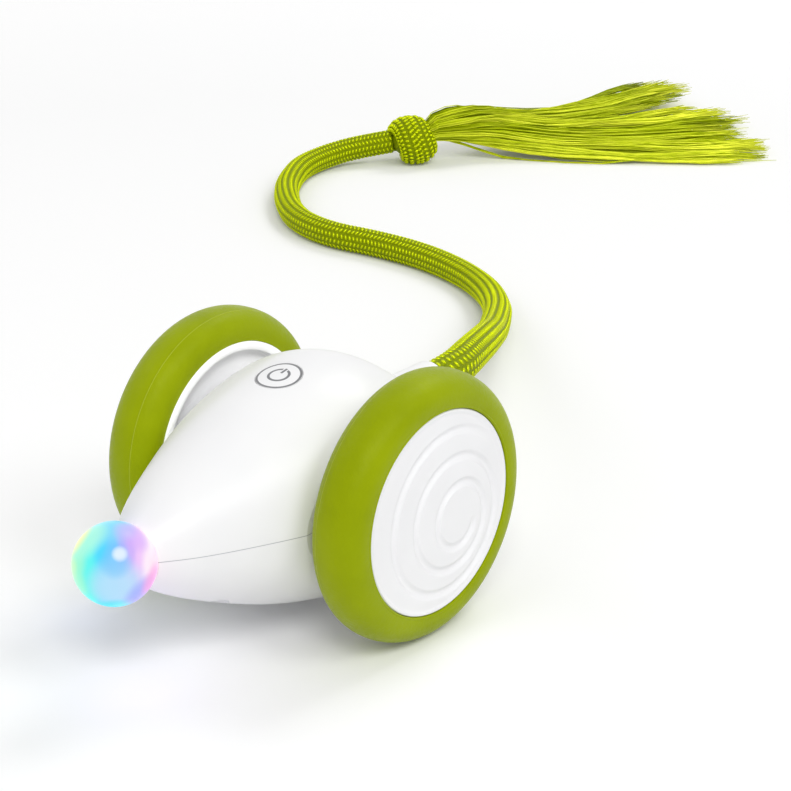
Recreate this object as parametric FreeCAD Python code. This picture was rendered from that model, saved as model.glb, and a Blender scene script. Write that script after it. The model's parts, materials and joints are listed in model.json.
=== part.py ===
import FreeCAD, Part
import math
import os
from FreeCAD import Vector

# Robotic mouse cat toy: a teardrop body between two big wheels, a lit ball for a nose
# and a long braided tail that lies on the floor. Millimetres. X runs along the axle,
# -Y is the way the nose points, Z is up and the floor is z = 0. Each piece is drawn with
# the axle at y = 0, and save() then moves it so that the origin is under the middle of
# the toy without its tail.

# Wheels
wheel_diameter = 60.0
wheel_track = 58.5
tyre_width = 14.5
tyre_section_height = 11.4
tyre_squareness = 2.2
tyre_depth = 7.35
cap_inset = 7.2
cap_depth = 0.55
cap_thickness = 1.5
ring_outer_inset = 6.7
ring_inner_inset = 8.7
ring_depth = 0.95
dish_depth = 5.0
web_thickness = 2.0
hub_radius = 5.0
rib_count = 6
rib_thickness = 1.2
skirt_wall = 1.0
skirt_length = 2.0

# Spiral groove in each hub cap, drawn about a centre that drifts as the spiral grows, and
# scaled from the cap radius that it was drawn on
spiral_drawn_on = 22.8
spiral_start_radius = 4.2
spiral_pitch = 5.5
spiral_turns = 2.9
spiral_centre_y = 8.8
spiral_centre_z = -5.4
spiral_drift_y = -0.333
spiral_drift_z = 0.17
spiral_width = 2.2
spiral_depth = 0.45
points_per_turn = 12

# Body shells
body_radius = 26.9
body_width = 42.8
body_front = 54.5
body_rear = 35.0
body_drop = 0.4
wall = 1.8
flank_shape = [(1.0, 0.247), (0.917, 0.367), (0.697, 0.606), (0.44, 0.824), (0.183, 0.965),
               (-0.02, 1.0)]
rump_shape = [(0.343, 0.887), (0.571, 0.709), (0.743, 0.548), (0.886, 0.383), (0.977, 0.208),
              (1.0, 0.0)]
lip_height = 1.6
lip_thickness = 0.9

# Nose
nose_radius = 8.7
nose_standoff = 5.9
nose_rise = 0.3
nose_wall = 1.3
nose_neck_radius = 4.4
nose_lip = 1.0
front_wall = 3.1
led_board_radius = 6.2
led_board_thickness = 1.0
led_size = 3.5
led_height = 1.5

# Drive: pinion, compound idler and output gear on each side
stage_one_module = 0.4
stage_two_module = 0.5
pinion_teeth = 10
idler_teeth = 36
idler_small_teeth = 10
output_teeth = 34
pressure_angle = 25.0
backlash = 0.06
idler_bearing_angle = 155.0
motor_bearing_angle = 202.0
gear_face = 2.0
motor_radius = 5.5
motor_length = 12.3
motor_boss_radius = 1.6
motor_boss_length = 0.8
motor_tab = 0.9
motor_tab_rise = 1.2
motor_tab_spacing = 3.4
rotor_radius = 0.5
shaft_radius = 2.0
pin_radius = 0.75
motor_gap = 1.4
case_back = 9.0
motor_grip = 5.0
case_plate = 1.4
case_wall = 1.2
cover_inner = 17.0
cover_plate = 1.3
gear_gap = 0.5
lug_radius = 2.2
lug_angles = (50.0, 225.0)
bush_radius = 3.6
bush_flange_radius = 5.0
bush_flange = 0.9
bush_proud = 0.5

# Fits
running_gap = 0.05
seat_gap = 0.1

# Power button, in the top of the upper shell
button_y = -10.4
button_radius = 5.1
button_gap = 0.15
button_flange_radius = 6.3
button_seat_depth = 2.3
button_flange = 0.8
button_travel = 0.6
button_stem_radius = 1.5
button_stem = 3.0
plunger_radius = 1.1
plunger_length = 2.1
switch_width = 4.5
switch_height = 2.0

# Boards
board_rise = 15.0
board_thickness = 1.2
board_width = 22.0
board_front = 24.0
board_rear = 8.0
board_post_radius = 2.2
board_post_x = 8.5
board_post_inset = 3.5
chip_height = 1.2

# Battery
battery_width = 20.0
battery_length = 30.0
battery_height = 7.0
battery_drop = 20.0
battery_front = 19.5
battery_corner = 2.0
pad_thickness = 0.6
cradle_wall = 1.4
cradle_reach = (-24.0, 12.0)
cradle_height = 4.0

# Charging socket, facing down behind the battery
port_gap = 5.3
port_drop = 19.2
port_width = 8.94
port_depth = 3.26
port_height = 6.4
port_metal = 0.3
port_pocket_width = 12.6
port_pocket_depth = 6.8
port_rim = 1.6
charge_board_thickness = 1.0

# Leads inside, bare ends meeting the boards
lead_radius = 0.45
lead_spacing = 2.6

# Screws
screw_radius = 1.0
screw_head_radius = 1.9
screw_head = 1.3
screw_length = 8.0
screw_seat = 3.5
boss_radius = 3.2
front_screw_x = 6.5
front_screw_y = -37.0
rear_screw_x = 11.5
rear_screw_y = 19.0
small_screw_radius = 0.8
small_head_radius = 1.5
small_head = 0.9
small_screw_length = 5.0
wheel_screw_head_radius = 3.2
wheel_screw_head = 1.3
wheel_screw_length = 7.0

# Tail
socket_rise = 7.7
socket_end = 41.0
socket_wall = 0.8
socket_flange_radius = 6.4
socket_flange = 1.6
bulkhead_y = 23.3
bulkhead_thickness = 1.5
bulkhead_margin = 3.1
cord_diameter = 8.0
cord_start = 36.0
ferrule_length = 8.0
ferrule_wall = 0.4
ferrule_grip = 2.0
knot_radius = 8.2
knot_length = 16.0
knot_bite = 1.0
knot_heading = 36.0
tassel_length = 120.0
tassel_heading = 63.0
tassel_spread = 90.0

axle_z = wheel_diameter / 2
tyre_bore_radius = axle_z - tyre_depth
cap_radius = axle_z - cap_inset
ring_outer_radius = axle_z - ring_outer_inset
ring_inner_radius = axle_z - ring_inner_inset
spiral_scale = cap_radius / spiral_drawn_on
socket_z = axle_z + socket_rise

# The cord's route from the axle, chosen by hand: straight out of the socket, down to the
# floor, then in one S along it and up a little into the knot
route = [
    (0, cord_start, socket_z), (0, 49, socket_z), (-7.5, 65.8, 35.4), (-21.5, 90.2, 28.5),
    (-43.5, 122.4, 16), (-69.5, 159.2, 6), (-89.9, 176.4, 4), (-113.5, 183.9, 4),
    (-135, 184.4, 4), (-154.2, 181.2, 4), (-173.1, 186.8, 4), (-191.5, 203.2, 4),
    (-201.3, 217, 4), (-207.5, 229.6, 4), (-208.6, 242.2, 4.4), (-204.5, 254.2, 5.8),
    (-195.7, 263.2, 7.6),
]

# Worked out from the sizes above
board_z = axle_z + board_rise
battery_z = axle_z - battery_drop
battery_y = (-battery_front, battery_length - battery_front)
port_y = battery_y[1] + port_gap
port_z = axle_z - port_drop
body_z = axle_z - body_drop
nose_z = body_z + nose_rise
nose_reach = body_front + nose_standoff
side_x = body_width / 2
wheel_x = wheel_track / 2
cavity_front = front_wall - body_front
bush_end = side_x + bush_proud
socket_bore = cord_diameter / 2 + ferrule_wall + running_gap
socket_radius = socket_bore + socket_wall
origin_y = (nose_reach + nose_radius - socket_end) / 2
whole = 300.0


# Simple solids
def rod(radius, start, end):
    span = Vector(*end) - Vector(*start)
    return Part.makeCylinder(radius, span.Length, Vector(*start), span)


def block(x, y, z):
    return Part.makeBox(x[1] - x[0], y[1] - y[0], z[1] - z[0], Vector(x[0], y[0], z[0]))


def lathe_x(outline, y=0.0, z=axle_z):
    # Outline points are (x, radius) about a line along X
    points = [Vector(x, y, z + radius) for x, radius in outline]
    face = Part.Face(Part.makePolygon(points + points[:1]))
    return face.revolve(Vector(0, y, z), Vector(1, 0, 0), 360)


def fused(solids):
    return solids[0].multiFuse(solids[1:]).removeSplitter()


def mirrored(shape, side):
    return shape if side > 0 else shape.mirror(Vector(0, 0, 0), Vector(1, 0, 0))


def save(name, shape):
    placed = shape.copy()
    placed.translate(Vector(0, origin_y, 0))
    print(name, len(placed.Solids), "solids", round(placed.Volume, 1), "mm3", placed.isValid())
    placed.exportStep("parts/%s.step" % name)


# Body of revolution about a level line under the axle, cut by two flat sides
def body_curve(inset):
    points = [Vector(0, -y * body_front, r * body_radius) for y, r in flank_shape]
    points += [Vector(0, y * body_rear, r * body_radius) for y, r in rump_shape]
    first = points[1] - points[0]
    curve = Part.BSplineCurve()
    curve.interpolate(Points=points, InitialTangent=first, FinalTangent=Vector(0, 0, -1))
    if inset == 0:
        return curve, points
    moved = []
    for point in points:
        along = curve.tangent(curve.parameter(point))[0]
        outward = Vector(0, -along.z, along.y)
        moved.append(point - outward * inset)
    moved[-1].z = 0
    inner = Part.BSplineCurve()
    inner.interpolate(Points=moved, InitialTangent=first, FinalTangent=Vector(0, 0, -1))
    return inner, moved


def body(inset=0.0):
    curve, points = body_curve(inset)
    front = Vector(0, points[0].y, 0)
    edges = [curve.toShape(), Part.makeLine(points[-1], front), Part.makeLine(front, points[0])]
    face = Part.Face(Part.Wire(edges))
    turned = face.revolve(Vector(0, 0, 0), Vector(0, 1, 0), 360)
    turned.translate(Vector(0, 0, body_z))
    half = side_x - inset
    return turned.common(block((-half, half), (-whole, whole), (-whole, whole)))


def above(z):
    return block((-whole, whole), (-whole, whole), (z, whole))


def below(z):
    return block((-whole, whole), (-whole, whole), (-whole, z))


# Gears
def involute(angle):
    return math.tan(angle) - angle


def gear(teeth, module, phase, x0, x1, centre):
    # Phase is the bearing of one tooth's middle, from +Y towards +Z
    y, z = centre
    pressure = math.radians(pressure_angle)
    pitch = teeth * module / 2
    base = pitch * math.cos(pressure)
    tip = pitch + 0.9 * module
    root = pitch - 1.15 * module
    start = max(base, root)
    half_at_pitch = math.pi / (2 * teeth) - backlash / (2 * pitch)

    def half_angle(radius):
        roll = math.acos(min(1.0, base / radius))
        return half_at_pitch + involute(pressure) - involute(roll)

    def spot(radius, angle):
        return Vector(x0, y + radius * math.cos(angle), z + radius * math.sin(angle))

    edges = []
    step = 2 * math.pi / teeth
    middle = (start + tip) / 2
    for tooth in range(teeth):
        at = phase + tooth * step
        low, mid, high = half_angle(start), half_angle(middle), half_angle(tip)
        rise = [spot(start, at - low), spot(middle, at - mid), spot(tip, at - high)]
        fall = [spot(tip, at + high), spot(middle, at + mid), spot(start, at + low)]
        if root < start:
            edges.append(Part.makeLine(spot(root, at - low), rise[0]))
        edges.append(Part.Arc(*rise).toShape())
        edges.append(Part.makeLine(rise[2], fall[0]))
        edges.append(Part.Arc(*fall).toShape())
        if root < start:
            edges.append(Part.makeLine(fall[2], spot(root, at + low)))
        floor = [spot(root, at + low), spot(root, at + step / 2), spot(root, at + step - low)]
        edges.append(Part.Arc(*floor).toShape())
    face = Part.Face(Part.Wire(edges))
    return face.extrude(Vector(x1 - x0, 0, 0))


def bearing(centre, degrees, distance):
    angle = math.radians(degrees)
    return centre[0] + distance * math.cos(angle), centre[1] + distance * math.sin(angle)


axle = (0.0, axle_z)
stage_two_distance = stage_two_module * (idler_small_teeth + output_teeth) / 2
stage_one_distance = stage_one_module * (pinion_teeth + idler_teeth) / 2
idler = bearing(axle, idler_bearing_angle, stage_two_distance)
motor = bearing(idler, motor_bearing_angle, stage_one_distance)
output_tip = stage_two_module * (output_teeth / 2 + 0.9)
idler_tip = stage_one_module * (idler_teeth / 2 + 0.9)
motor_front = motor_gap / 2 + motor_length
motor_tab_x = motor_gap / 2 + 1.0
pinion_x = (motor_front + motor_boss_length + 0.3, cover_inner - 0.3)
large_x = (cover_inner - gear_gap - gear_face, cover_inner - gear_gap)
small_x = (case_back + case_plate + gear_gap, large_x[0])
output_x = (small_x[0] + 0.3, small_x[0] + 0.3 + gear_face)
shaft_start = case_back - 0.5
cover_outer = cover_inner + cover_plate


def disc_hull(discs, x0, x1):
    # Straight-sided outline round a chain of discs, each (centre, radius)
    solids = [rod(r, (x0, c[0], c[1]), (x1, c[0], c[1])) for c, r in discs]
    for (a, ra), (b, rb) in zip(discs, discs[1:]):
        distance = math.hypot(b[0] - a[0], b[1] - a[1])
        along = math.atan2(b[1] - a[1], b[0] - a[0])
        lean = math.acos((ra - rb) / distance)
        corners = []
        for (c, r), turn in [((a, ra), lean), ((b, rb), lean), ((b, rb), -lean), ((a, ra), -lean)]:
            corners.append(Vector(x0, c[0] + r * math.cos(along + turn),
                                  c[1] + r * math.sin(along + turn)))
        face = Part.Face(Part.makePolygon(corners + corners[:1]))
        solids.append(face.extrude(Vector(x1 - x0, 0, 0)))
    return fused(solids)


def case_discs(extra):
    return [(axle, output_tip + gear_gap + extra), (idler, idler_tip + gear_gap + extra),
            (motor, motor_radius + gear_gap + extra)]


def lugs():
    reach = output_tip + gear_gap + case_wall + lug_radius * 0.6
    return [bearing(axle, angle, reach) for angle in lug_angles]


def lug_rods(radius, x0, x1):
    return [rod(radius, (x0, y, z), (x1, y, z)) for y, z in lugs()]


def gearbox_outline(gap, x0, x1):
    hull = disc_hull(case_discs(case_wall + gap), x0, x1)
    return fused([hull] + lug_rods(lug_radius + gap, x0, x1))


def gearbox_case():
    plate_x = (case_back, case_back + case_plate)
    tray = disc_hull(case_discs(case_wall), case_back, cover_inner)
    sleeve = rod(motor_radius + case_wall, (case_back - motor_grip, *motor), (case_back, *motor))
    boss = rod(shaft_radius + 1.5, (case_back - 1.8, *axle), (small_x[0] - 0.1, *axle))
    pin_boss = rod(pin_radius * 2, (case_back, *idler), (small_x[0] - 0.1, *idler))
    solid = fused([tray, sleeve] + lug_rods(lug_radius, case_back, cover_inner))
    solid = solid.cut(disc_hull(case_discs(0.0), plate_x[1], cover_inner + 1))
    solid = fused([solid, boss, pin_boss])
    solid = solid.cut(rod(motor_radius, (0, *motor), (cover_inner, *motor)))
    solid = solid.cut(rod(shaft_radius + running_gap, (shaft_start - 0.2, *axle), (whole, *axle)))
    solid = solid.cut(rod(pin_radius, (case_back + 0.3, *idler), (whole, *idler)))
    for pilot in lug_rods(small_screw_radius, cover_outer - small_screw_length, whole):
        solid = solid.cut(pilot)
    return solid


def gearbox_cover():
    plate = disc_hull(case_discs(case_wall), cover_inner, cover_outer)
    pin_boss = rod(pin_radius * 2, (large_x[1] + 0.1, *idler), (cover_inner, *idler))
    solid = fused([plate, pin_boss] + lug_rods(lug_radius, cover_inner, cover_outer))
    solid = solid.cut(rod(shaft_radius + seat_gap * 3, (0, *axle), (whole, *axle)))
    solid = solid.cut(rod(pin_radius, (0, *idler), (cover_outer - 0.4, *idler)))
    for hole in lug_rods(small_screw_radius + seat_gap, 0, whole):
        solid = solid.cut(hole)
    return solid


def gearbox_screws():
    screws = []
    for y, z in lugs():
        shank = rod(small_screw_radius, (cover_outer - small_screw_length, y, z),
                    (cover_outer, y, z))
        head = rod(small_head_radius, (cover_outer, y, z), (cover_outer + small_head, y, z))
        screws.append(fused([shank, head]))
    return Part.makeCompound(screws)


def motor_can():
    back = motor_front - motor_length
    can = rod(motor_radius, (back, *motor), (motor_front, *motor))
    can = can.makeFillet(0.5, [edge for edge in can.Edges if len(edge.Vertexes) == 1])
    boss = rod(motor_boss_radius, (back, *motor), (motor_front + motor_boss_length, *motor))
    tabs = [block((motor_tab_x, motor_tab_x + motor_tab), (y - 0.6, y + 0.6),
                  (motor[1] + motor_radius - 1.4, motor[1] + motor_radius + motor_tab_rise))
            for y in (motor[0] - motor_tab_spacing / 2, motor[0] + motor_tab_spacing / 2)]
    solid = fused([can, boss] + tabs)
    return solid.cut(rod(rotor_radius + running_gap, (back + 1, *motor), (whole, *motor)))


def rotor():
    back = motor_front - motor_length
    return rod(rotor_radius, (back + 1.2, *motor), (pinion_x[1] - 0.2, *motor))


def pinion():
    toward = math.radians(motor_bearing_angle) + math.pi + math.pi / pinion_teeth
    solid = gear(pinion_teeth, stage_one_module, toward, *pinion_x, motor)
    return solid.cut(rod(rotor_radius, (0, *motor), (whole, *motor)))


def idler_gear():
    to_motor = math.radians(motor_bearing_angle)
    to_axle = math.radians(idler_bearing_angle) + math.pi + math.pi / idler_small_teeth
    large = gear(idler_teeth, stage_one_module, to_motor, *large_x, idler)
    small = gear(idler_small_teeth, stage_two_module, to_axle, *small_x, idler)
    return large.fuse(small).cut(rod(pin_radius + running_gap, (0, *idler), (whole, *idler)))


def idler_pin():
    return rod(pin_radius, (case_back + 0.3, *idler), (cover_outer - 0.4, *idler))


def output_gear():
    phase = math.radians(idler_bearing_angle)
    teeth = gear(output_teeth, stage_two_module, phase, *output_x, axle)
    hub = rod(shaft_radius + 1.2, (output_x[0], *axle), (output_x[1] + 0.9, *axle))
    return teeth.fuse(hub).cut(rod(shaft_radius, (0, *axle), (whole, *axle)))


# Wheel pieces, drawn on the +X side. across() turns a distance outward from the wheel's
# middle plane into x
def across(offset):
    return wheel_x + offset


cap_face = tyre_width / 2 - cap_depth
cap_back = cap_face - cap_thickness
ring_face = ring_depth - tyre_width / 2
web_inner = ring_face + dish_depth
web_outer = web_inner + web_thickness
hub_inner = bush_end + 0.2 - wheel_x
hub_outer = web_outer + 3.0


def tyre():
    centre = wheel_diameter / 2 - tyre_section_height / 2
    high = tyre_section_height / 2
    power = 2 / tyre_squareness

    def spot(radius, side):
        share = min(1.0, abs(radius - centre) / high)
        offset = tyre_width / 2 * (1 - share ** tyre_squareness) ** (1 / tyre_squareness)
        return Vector(across(side * offset), 0, axle_z + radius)

    inner = spot(ring_outer_radius + seat_gap, -1)
    outer = spot(cap_radius + seat_gap, 1)
    crown = []
    for degrees in range(0, 181, 15):
        angle = math.radians(degrees)
        side = -1 if degrees < 90 else 1
        share = abs(math.cos(angle)) ** power
        crown.append(Vector(across(side * tyre_width / 2 * share), 0,
                            axle_z + centre + high * math.sin(angle) ** power))
    curve = Part.BSplineCurve()
    curve.interpolate([inner] + crown + [outer])
    flange = across(ring_face + 1.0)
    corners = [outer, Vector(across(cap_back), 0, outer.z),
               Vector(across(cap_back), 0, axle_z + tyre_bore_radius),
               Vector(flange, 0, axle_z + tyre_bore_radius), Vector(flange, 0, inner.z), inner]
    edges = [curve.toShape()] + [Part.makeLine(a, b) for a, b in zip(corners, corners[1:])]
    face = Part.Face(Part.Wire(edges))
    return face.revolve(Vector(0, 0, axle_z), Vector(1, 0, 0), 360)


def wheel_rim():
    drum = tyre_bore_radius - seat_gap / 2
    lining = ring_inner_radius
    outline = [(hub_inner, shaft_radius), (hub_inner, hub_radius), (web_inner, hub_radius + 0.8),
               (web_inner, lining), (ring_face + 0.5, lining), (ring_face, lining + 0.5),
               (ring_face, ring_outer_radius), (ring_face + 1.0, ring_outer_radius),
               (ring_face + 1.0, drum), (cap_back - 0.05, drum), (cap_back - 0.05, lining),
               (web_outer, lining), (web_outer, hub_radius), (hub_outer, hub_radius),
               (hub_outer, shaft_radius)]
    solid = lathe_x([(across(x), r) for x, r in outline])
    ribs = []
    reach = lining - skirt_wall - 0.6
    for number in range(rib_count):
        rib = block((across(web_outer - 0.5), across(hub_outer - 0.6)),
                    (-rib_thickness / 2, rib_thickness / 2),
                    (axle_z + hub_radius - 0.5, axle_z + reach))
        rib.rotate(Vector(0, 0, axle_z), Vector(1, 0, 0), 360 / rib_count * number)
        ribs.append(rib)
    return fused([solid] + ribs)


def spiral_edge(offset):
    points = []
    for number in range(round(points_per_turn * spiral_turns) + 1):
        turned = 2 * math.pi * number / points_per_turn
        radius = spiral_start_radius + spiral_pitch * turned / (2 * math.pi)
        y = spiral_centre_y + spiral_drift_y * radius + (radius + offset) * math.cos(turned)
        z = spiral_centre_z + spiral_drift_z * radius - (radius + offset) * math.sin(turned)
        points.append(Vector(across(cap_face - spiral_depth), spiral_scale * y,
                             axle_z + spiral_scale * z))
    return points


def spiral_groove():
    outer = spiral_edge(spiral_width / 2)
    inner = spiral_edge(-spiral_width / 2)
    curves = []
    for points in (outer, inner):
        curve = Part.BSplineCurve()
        curve.interpolate(points)
        curves.append(curve.toShape())
    edges = [curves[0], Part.makeLine(outer[-1], inner[-1]), curves[1],
             Part.makeLine(inner[0], outer[0])]
    face = Part.Face(Part.Wire(Part.__sortEdges__(edges)))
    return face.extrude(Vector(spiral_depth + 0.1, 0, 0))


def hub_cap():
    skirt = ring_inner_radius - seat_gap
    outline = [(cap_face, 0), (cap_face, cap_radius - 0.4), (cap_face - 0.4, cap_radius),
               (cap_back, cap_radius), (cap_back, skirt), (cap_back - skirt_length, skirt),
               (cap_back - skirt_length, skirt - skirt_wall), (cap_back, skirt - skirt_wall),
               (cap_back, 0)]
    return lathe_x([(across(x), r) for x, r in outline]).cut(spiral_groove())


def wheel_shaft():
    end = across(hub_outer) - 0.4
    shaft = rod(shaft_radius, (shaft_start, *axle), (end, *axle))
    hole = rod(screw_radius, (across(hub_outer) - wheel_screw_length - 0.5, *axle),
               (end + 1, *axle))
    return shaft.cut(hole)


def wheel_screw():
    seat = across(hub_outer)
    shank = rod(screw_radius, (seat - wheel_screw_length, *axle), (seat, *axle))
    head = rod(wheel_screw_head_radius, (seat, *axle), (seat + wheel_screw_head, *axle))
    slots = [block((seat + wheel_screw_head - 0.7, seat + wheel_screw_head + 1), y, z)
             for y, z in [((-1.8, 1.8), (axle_z - 0.35, axle_z + 0.35)),
                          ((-0.35, 0.35), (axle_z - 1.8, axle_z + 1.8))]]
    return fused([shank, head]).cut(fused(slots))


def axle_bush():
    flange_x = side_x - wall - seat_gap - bush_flange
    sleeve = rod(bush_radius, (flange_x, *axle), (bush_end, *axle))
    flange = rod(bush_flange_radius, (flange_x, *axle), (flange_x + bush_flange, *axle))
    return fused([sleeve, flange]).cut(rod(shaft_radius + running_gap, (0, *axle), (whole, *axle)))


# Power button on the line square to the shell's top
def button_line():
    curve = body_curve(0.0)[0]
    low, high = curve.FirstParameter, curve.LastParameter
    for _ in range(50):
        middle = (low + high) / 2
        if curve.value(middle).y < button_y:
            low = middle
        else:
            high = middle
    point = curve.value(low)
    along = curve.tangent(low)[0]
    outward = Vector(0, -along.z, along.y)
    return Vector(0, point.y, point.z + body_z), outward


button_top, button_out = button_line()


def button_rod(radius, upper, lower):
    # Between two depths under the shell's surface
    start = button_top - button_out * lower
    return Part.makeCylinder(radius, lower - upper, start, button_out)


def button_hole():
    reach = button_seat_depth + wall * 4
    hole = button_rod(button_radius + button_gap, -wall, reach)
    seat = button_rod(button_flange_radius + seat_gap * 3, button_seat_depth, reach)
    return fused([hole, seat])


flange_depth = button_seat_depth + running_gap
stem_start = flange_depth + button_flange
plunger_start = stem_start + button_stem


def power_button(outer):
    cap = outer.common(button_rod(button_radius, -wall, flange_depth + seat_gap))
    flange = button_rod(button_flange_radius, flange_depth, stem_start)
    stem = button_rod(button_stem_radius, stem_start - 0.1, plunger_start)
    return fused([cap, flange, stem])


def switch_plunger():
    return button_rod(plunger_radius, plunger_start, plunger_start + plunger_length)


def switch_foot():
    return button_top - button_out * (plunger_start + plunger_length / 2)


def power_switch():
    top = board_z + board_thickness
    y = switch_foot().y
    half = switch_width / 2
    case = block((-half, half), (y - half, y + half), (top, top + switch_height))
    return case.cut(button_rod(plunger_radius + 0.25, plunger_start,
                               plunger_start + plunger_length + button_travel + 0.2))


# Boards
def board_posts():
    front = -board_front + board_post_inset
    rear = board_rear - board_post_inset
    return [(x, y) for y in (front, rear) for x in (-board_post_x, board_post_x)]


def main_board():
    board = block((-board_width / 2, board_width / 2), (-board_front, board_rear),
                  (board_z, board_z + board_thickness))
    for x, y in board_posts():
        board = board.cut(rod(small_screw_radius + seat_gap, (x, y, 0), (x, y, whole)))
    return board


def board_chips():
    chips = []
    for x, y, width, length in [(-2.6, -12.6, 6.4, 6.4), (3.5, -4.0, 4.0, 5.0),
                                (5.0, -15.0, 2.2, 3.4), (-4.5, -4.5, 3.0, 1.8),
                                (-4.0, 1.0, 2.0, 1.2), (0.5, -8.5, 1.6, 0.9)]:
        chips.append(block((x - width / 2, x + width / 2), (y - length / 2, y + length / 2),
                           (board_z - chip_height, board_z)))
    return Part.makeCompound(chips)


def board_screws():
    screws = []
    for x, y in board_posts():
        shank = rod(small_screw_radius, (x, y, board_z), (x, y, board_z + small_screw_length - 1))
        head = rod(small_head_radius, (x, y, board_z - small_head), (x, y, board_z))
        screws.append(fused([shank, head]))
    return Part.makeCompound(screws)


# Battery and its cradle
def battery_cell():
    cell = block((-battery_width / 2, battery_width / 2), battery_y,
                 (battery_z, battery_z + battery_height))
    rims = [edge for edge in cell.Edges if abs(edge.tangentAt(0).y) > 0.9]
    return cell.makeFillet(battery_corner, rims)


def battery_pad():
    half = battery_width / 2 - battery_corner
    return block((-half, half), (battery_y[0] + 1, battery_y[1] - 1),
                 (battery_z - pad_thickness, battery_z))


def battery_cradle():
    outer_x = battery_width / 2 + seat_gap + cradle_wall
    floor = battery_z - pad_thickness
    blocks = []
    for share in (0.22, 0.78):
        y = battery_y[0] + share * battery_length
        blocks.append(block((-outer_x, outer_x), (y - 1, y + 1), (0, battery_z + cradle_height)))
    room = block((-battery_width / 2 - seat_gap, battery_width / 2 + seat_gap), (-whole, whole),
                 (floor, whole))
    return [piece.cut(room) for piece in blocks]


# Charging socket and its board
port_top = port_z + port_height
port_half = port_pocket_width / 2 + port_rim


def slot_block(width, depth, low, high):
    radius = depth / 2
    reach = width / 2 - radius
    solids = [block((-reach, reach), (port_y - radius, port_y + radius), (low, high))]
    solids += [rod(radius, (x, port_y, low), (x, port_y, high)) for x in (-reach, reach)]
    return fused(solids)


def usb_socket():
    shell = slot_block(port_width, port_depth, port_z, port_top)
    room = slot_block(port_width - 2 * port_metal, port_depth - 2 * port_metal, port_z - 1,
                      port_top - 1)
    tongue = block((-3.35, 3.35), (port_y - 0.35, port_y + 0.35), (port_z + 0.8, port_top))
    return shell.cut(room).fuse(tongue)


def charge_board():
    return block((-port_half, port_half), (port_y - 4.2, port_y + 4.6),
                 (port_top, port_top + charge_board_thickness))


def port_pad():
    front = port_y - port_pocket_depth / 2 - port_rim / 2
    pad = block((-port_half, port_half), (front, port_y + port_pocket_depth / 2 + port_rim),
                (0, port_z + 1.8))
    columns = [block(x, (port_y - 2, port_y + 2), (port_z, port_top))
               for x in ((-port_half, -port_width / 2 - 1), (port_width / 2 + 1, port_half))]
    return [pad] + columns


def port_cuts():
    return [slot_block(port_pocket_width, port_pocket_depth, 0, port_z),
            slot_block(port_width + 2 * seat_gap, port_depth + 2 * seat_gap, 0, port_z + 3)]


# Nose
nose_spot = Vector(0, -nose_reach, nose_z)
nose_back = cavity_front + seat_gap


def nose_rod(radius, y0, y1):
    return rod(radius, (0, y0, nose_z), (0, y1, nose_z))


def nose_ball():
    ball = Part.makeSphere(nose_radius, nose_spot)
    neck = nose_rod(nose_neck_radius, -nose_reach, nose_back + nose_lip)
    lip = nose_rod(nose_neck_radius + 1.0, nose_back, nose_back + nose_lip)
    solid = fused([ball, neck, lip])
    solid = solid.cut(Part.makeSphere(nose_radius - nose_wall, nose_spot))
    return solid.cut(nose_rod(nose_neck_radius - nose_wall, -nose_reach, nose_back + 5))


led_board_y = nose_back + nose_lip


def led_board():
    return nose_rod(led_board_radius, led_board_y, led_board_y + led_board_thickness)


def nose_led():
    half = led_size / 2
    return block((-half, half), (led_board_y - led_height, led_board_y),
                 (nose_z - half, nose_z + half))


def nose_ring():
    start = led_board_y + led_board_thickness + seat_gap
    ring = nose_rod(body_radius, start, start + 1.2)
    return ring.cut(nose_rod(led_board_radius - 1.6, start - 1, start + 3))


# Shells
def screw_spots():
    return [(sx * x, y) for x, y in ((front_screw_x, front_screw_y), (rear_screw_x, rear_screw_y))
            for sx in (-1, 1)]


def cradle_ribs(low, high):
    ribs = []
    outline = gearbox_outline(seat_gap, case_back - 1, cover_outer + 1)
    x0 = case_back + 3.3
    rib = block((x0, x0 + cradle_wall), cradle_reach, (low, high)).cut(outline)
    for side in (1, -1):
        ribs.append(mirrored(rib, side))
    return ribs


def bush_holes():
    return [rod(bush_radius + running_gap, (side * cover_outer, *axle), (side * whole, *axle))
            for side in (1, -1)]


def nose_cuts():
    return [Part.makeSphere(nose_radius + running_gap, nose_spot),
            nose_rod(nose_neck_radius + seat_gap, -nose_reach, cavity_front + 0.5)]


def upper_shell(casing, outer):
    half = casing.common(above(axle_z))
    half_bulkhead = socket_flange_radius + bulkhead_margin
    inside = [nose_ring(), block((-half_bulkhead, half_bulkhead),
                                 (bulkhead_y, bulkhead_y + bulkhead_thickness), (axle_z, whole))]
    inside += cradle_ribs(axle_z + 0.2, whole)
    inside += [rod(boss_radius - 0.6, (x, y, axle_z), (x, y, whole)) for x, y in screw_spots()]
    inside += [rod(board_post_radius, (x, y, board_z + board_thickness), (x, y, whole))
               for x, y in board_posts()]
    limit = outer.common(above(axle_z))
    half = fused([half] + [piece.common(limit) for piece in inside])
    cuts = [button_hole(), tail_rod(socket_radius + running_gap, bulkhead_y - wall, whole)]
    cuts += bush_holes() + nose_cuts()
    cuts += [rod(screw_radius, (x, y, 0), (x, y, axle_z + screw_length)) for x, y in screw_spots()]
    cuts += [rod(small_screw_radius, (x, y, board_z), (x, y, board_z + small_screw_length))
             for x, y in board_posts()]
    for cut in cuts:
        half = half.cut(cut)
    return half


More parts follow.
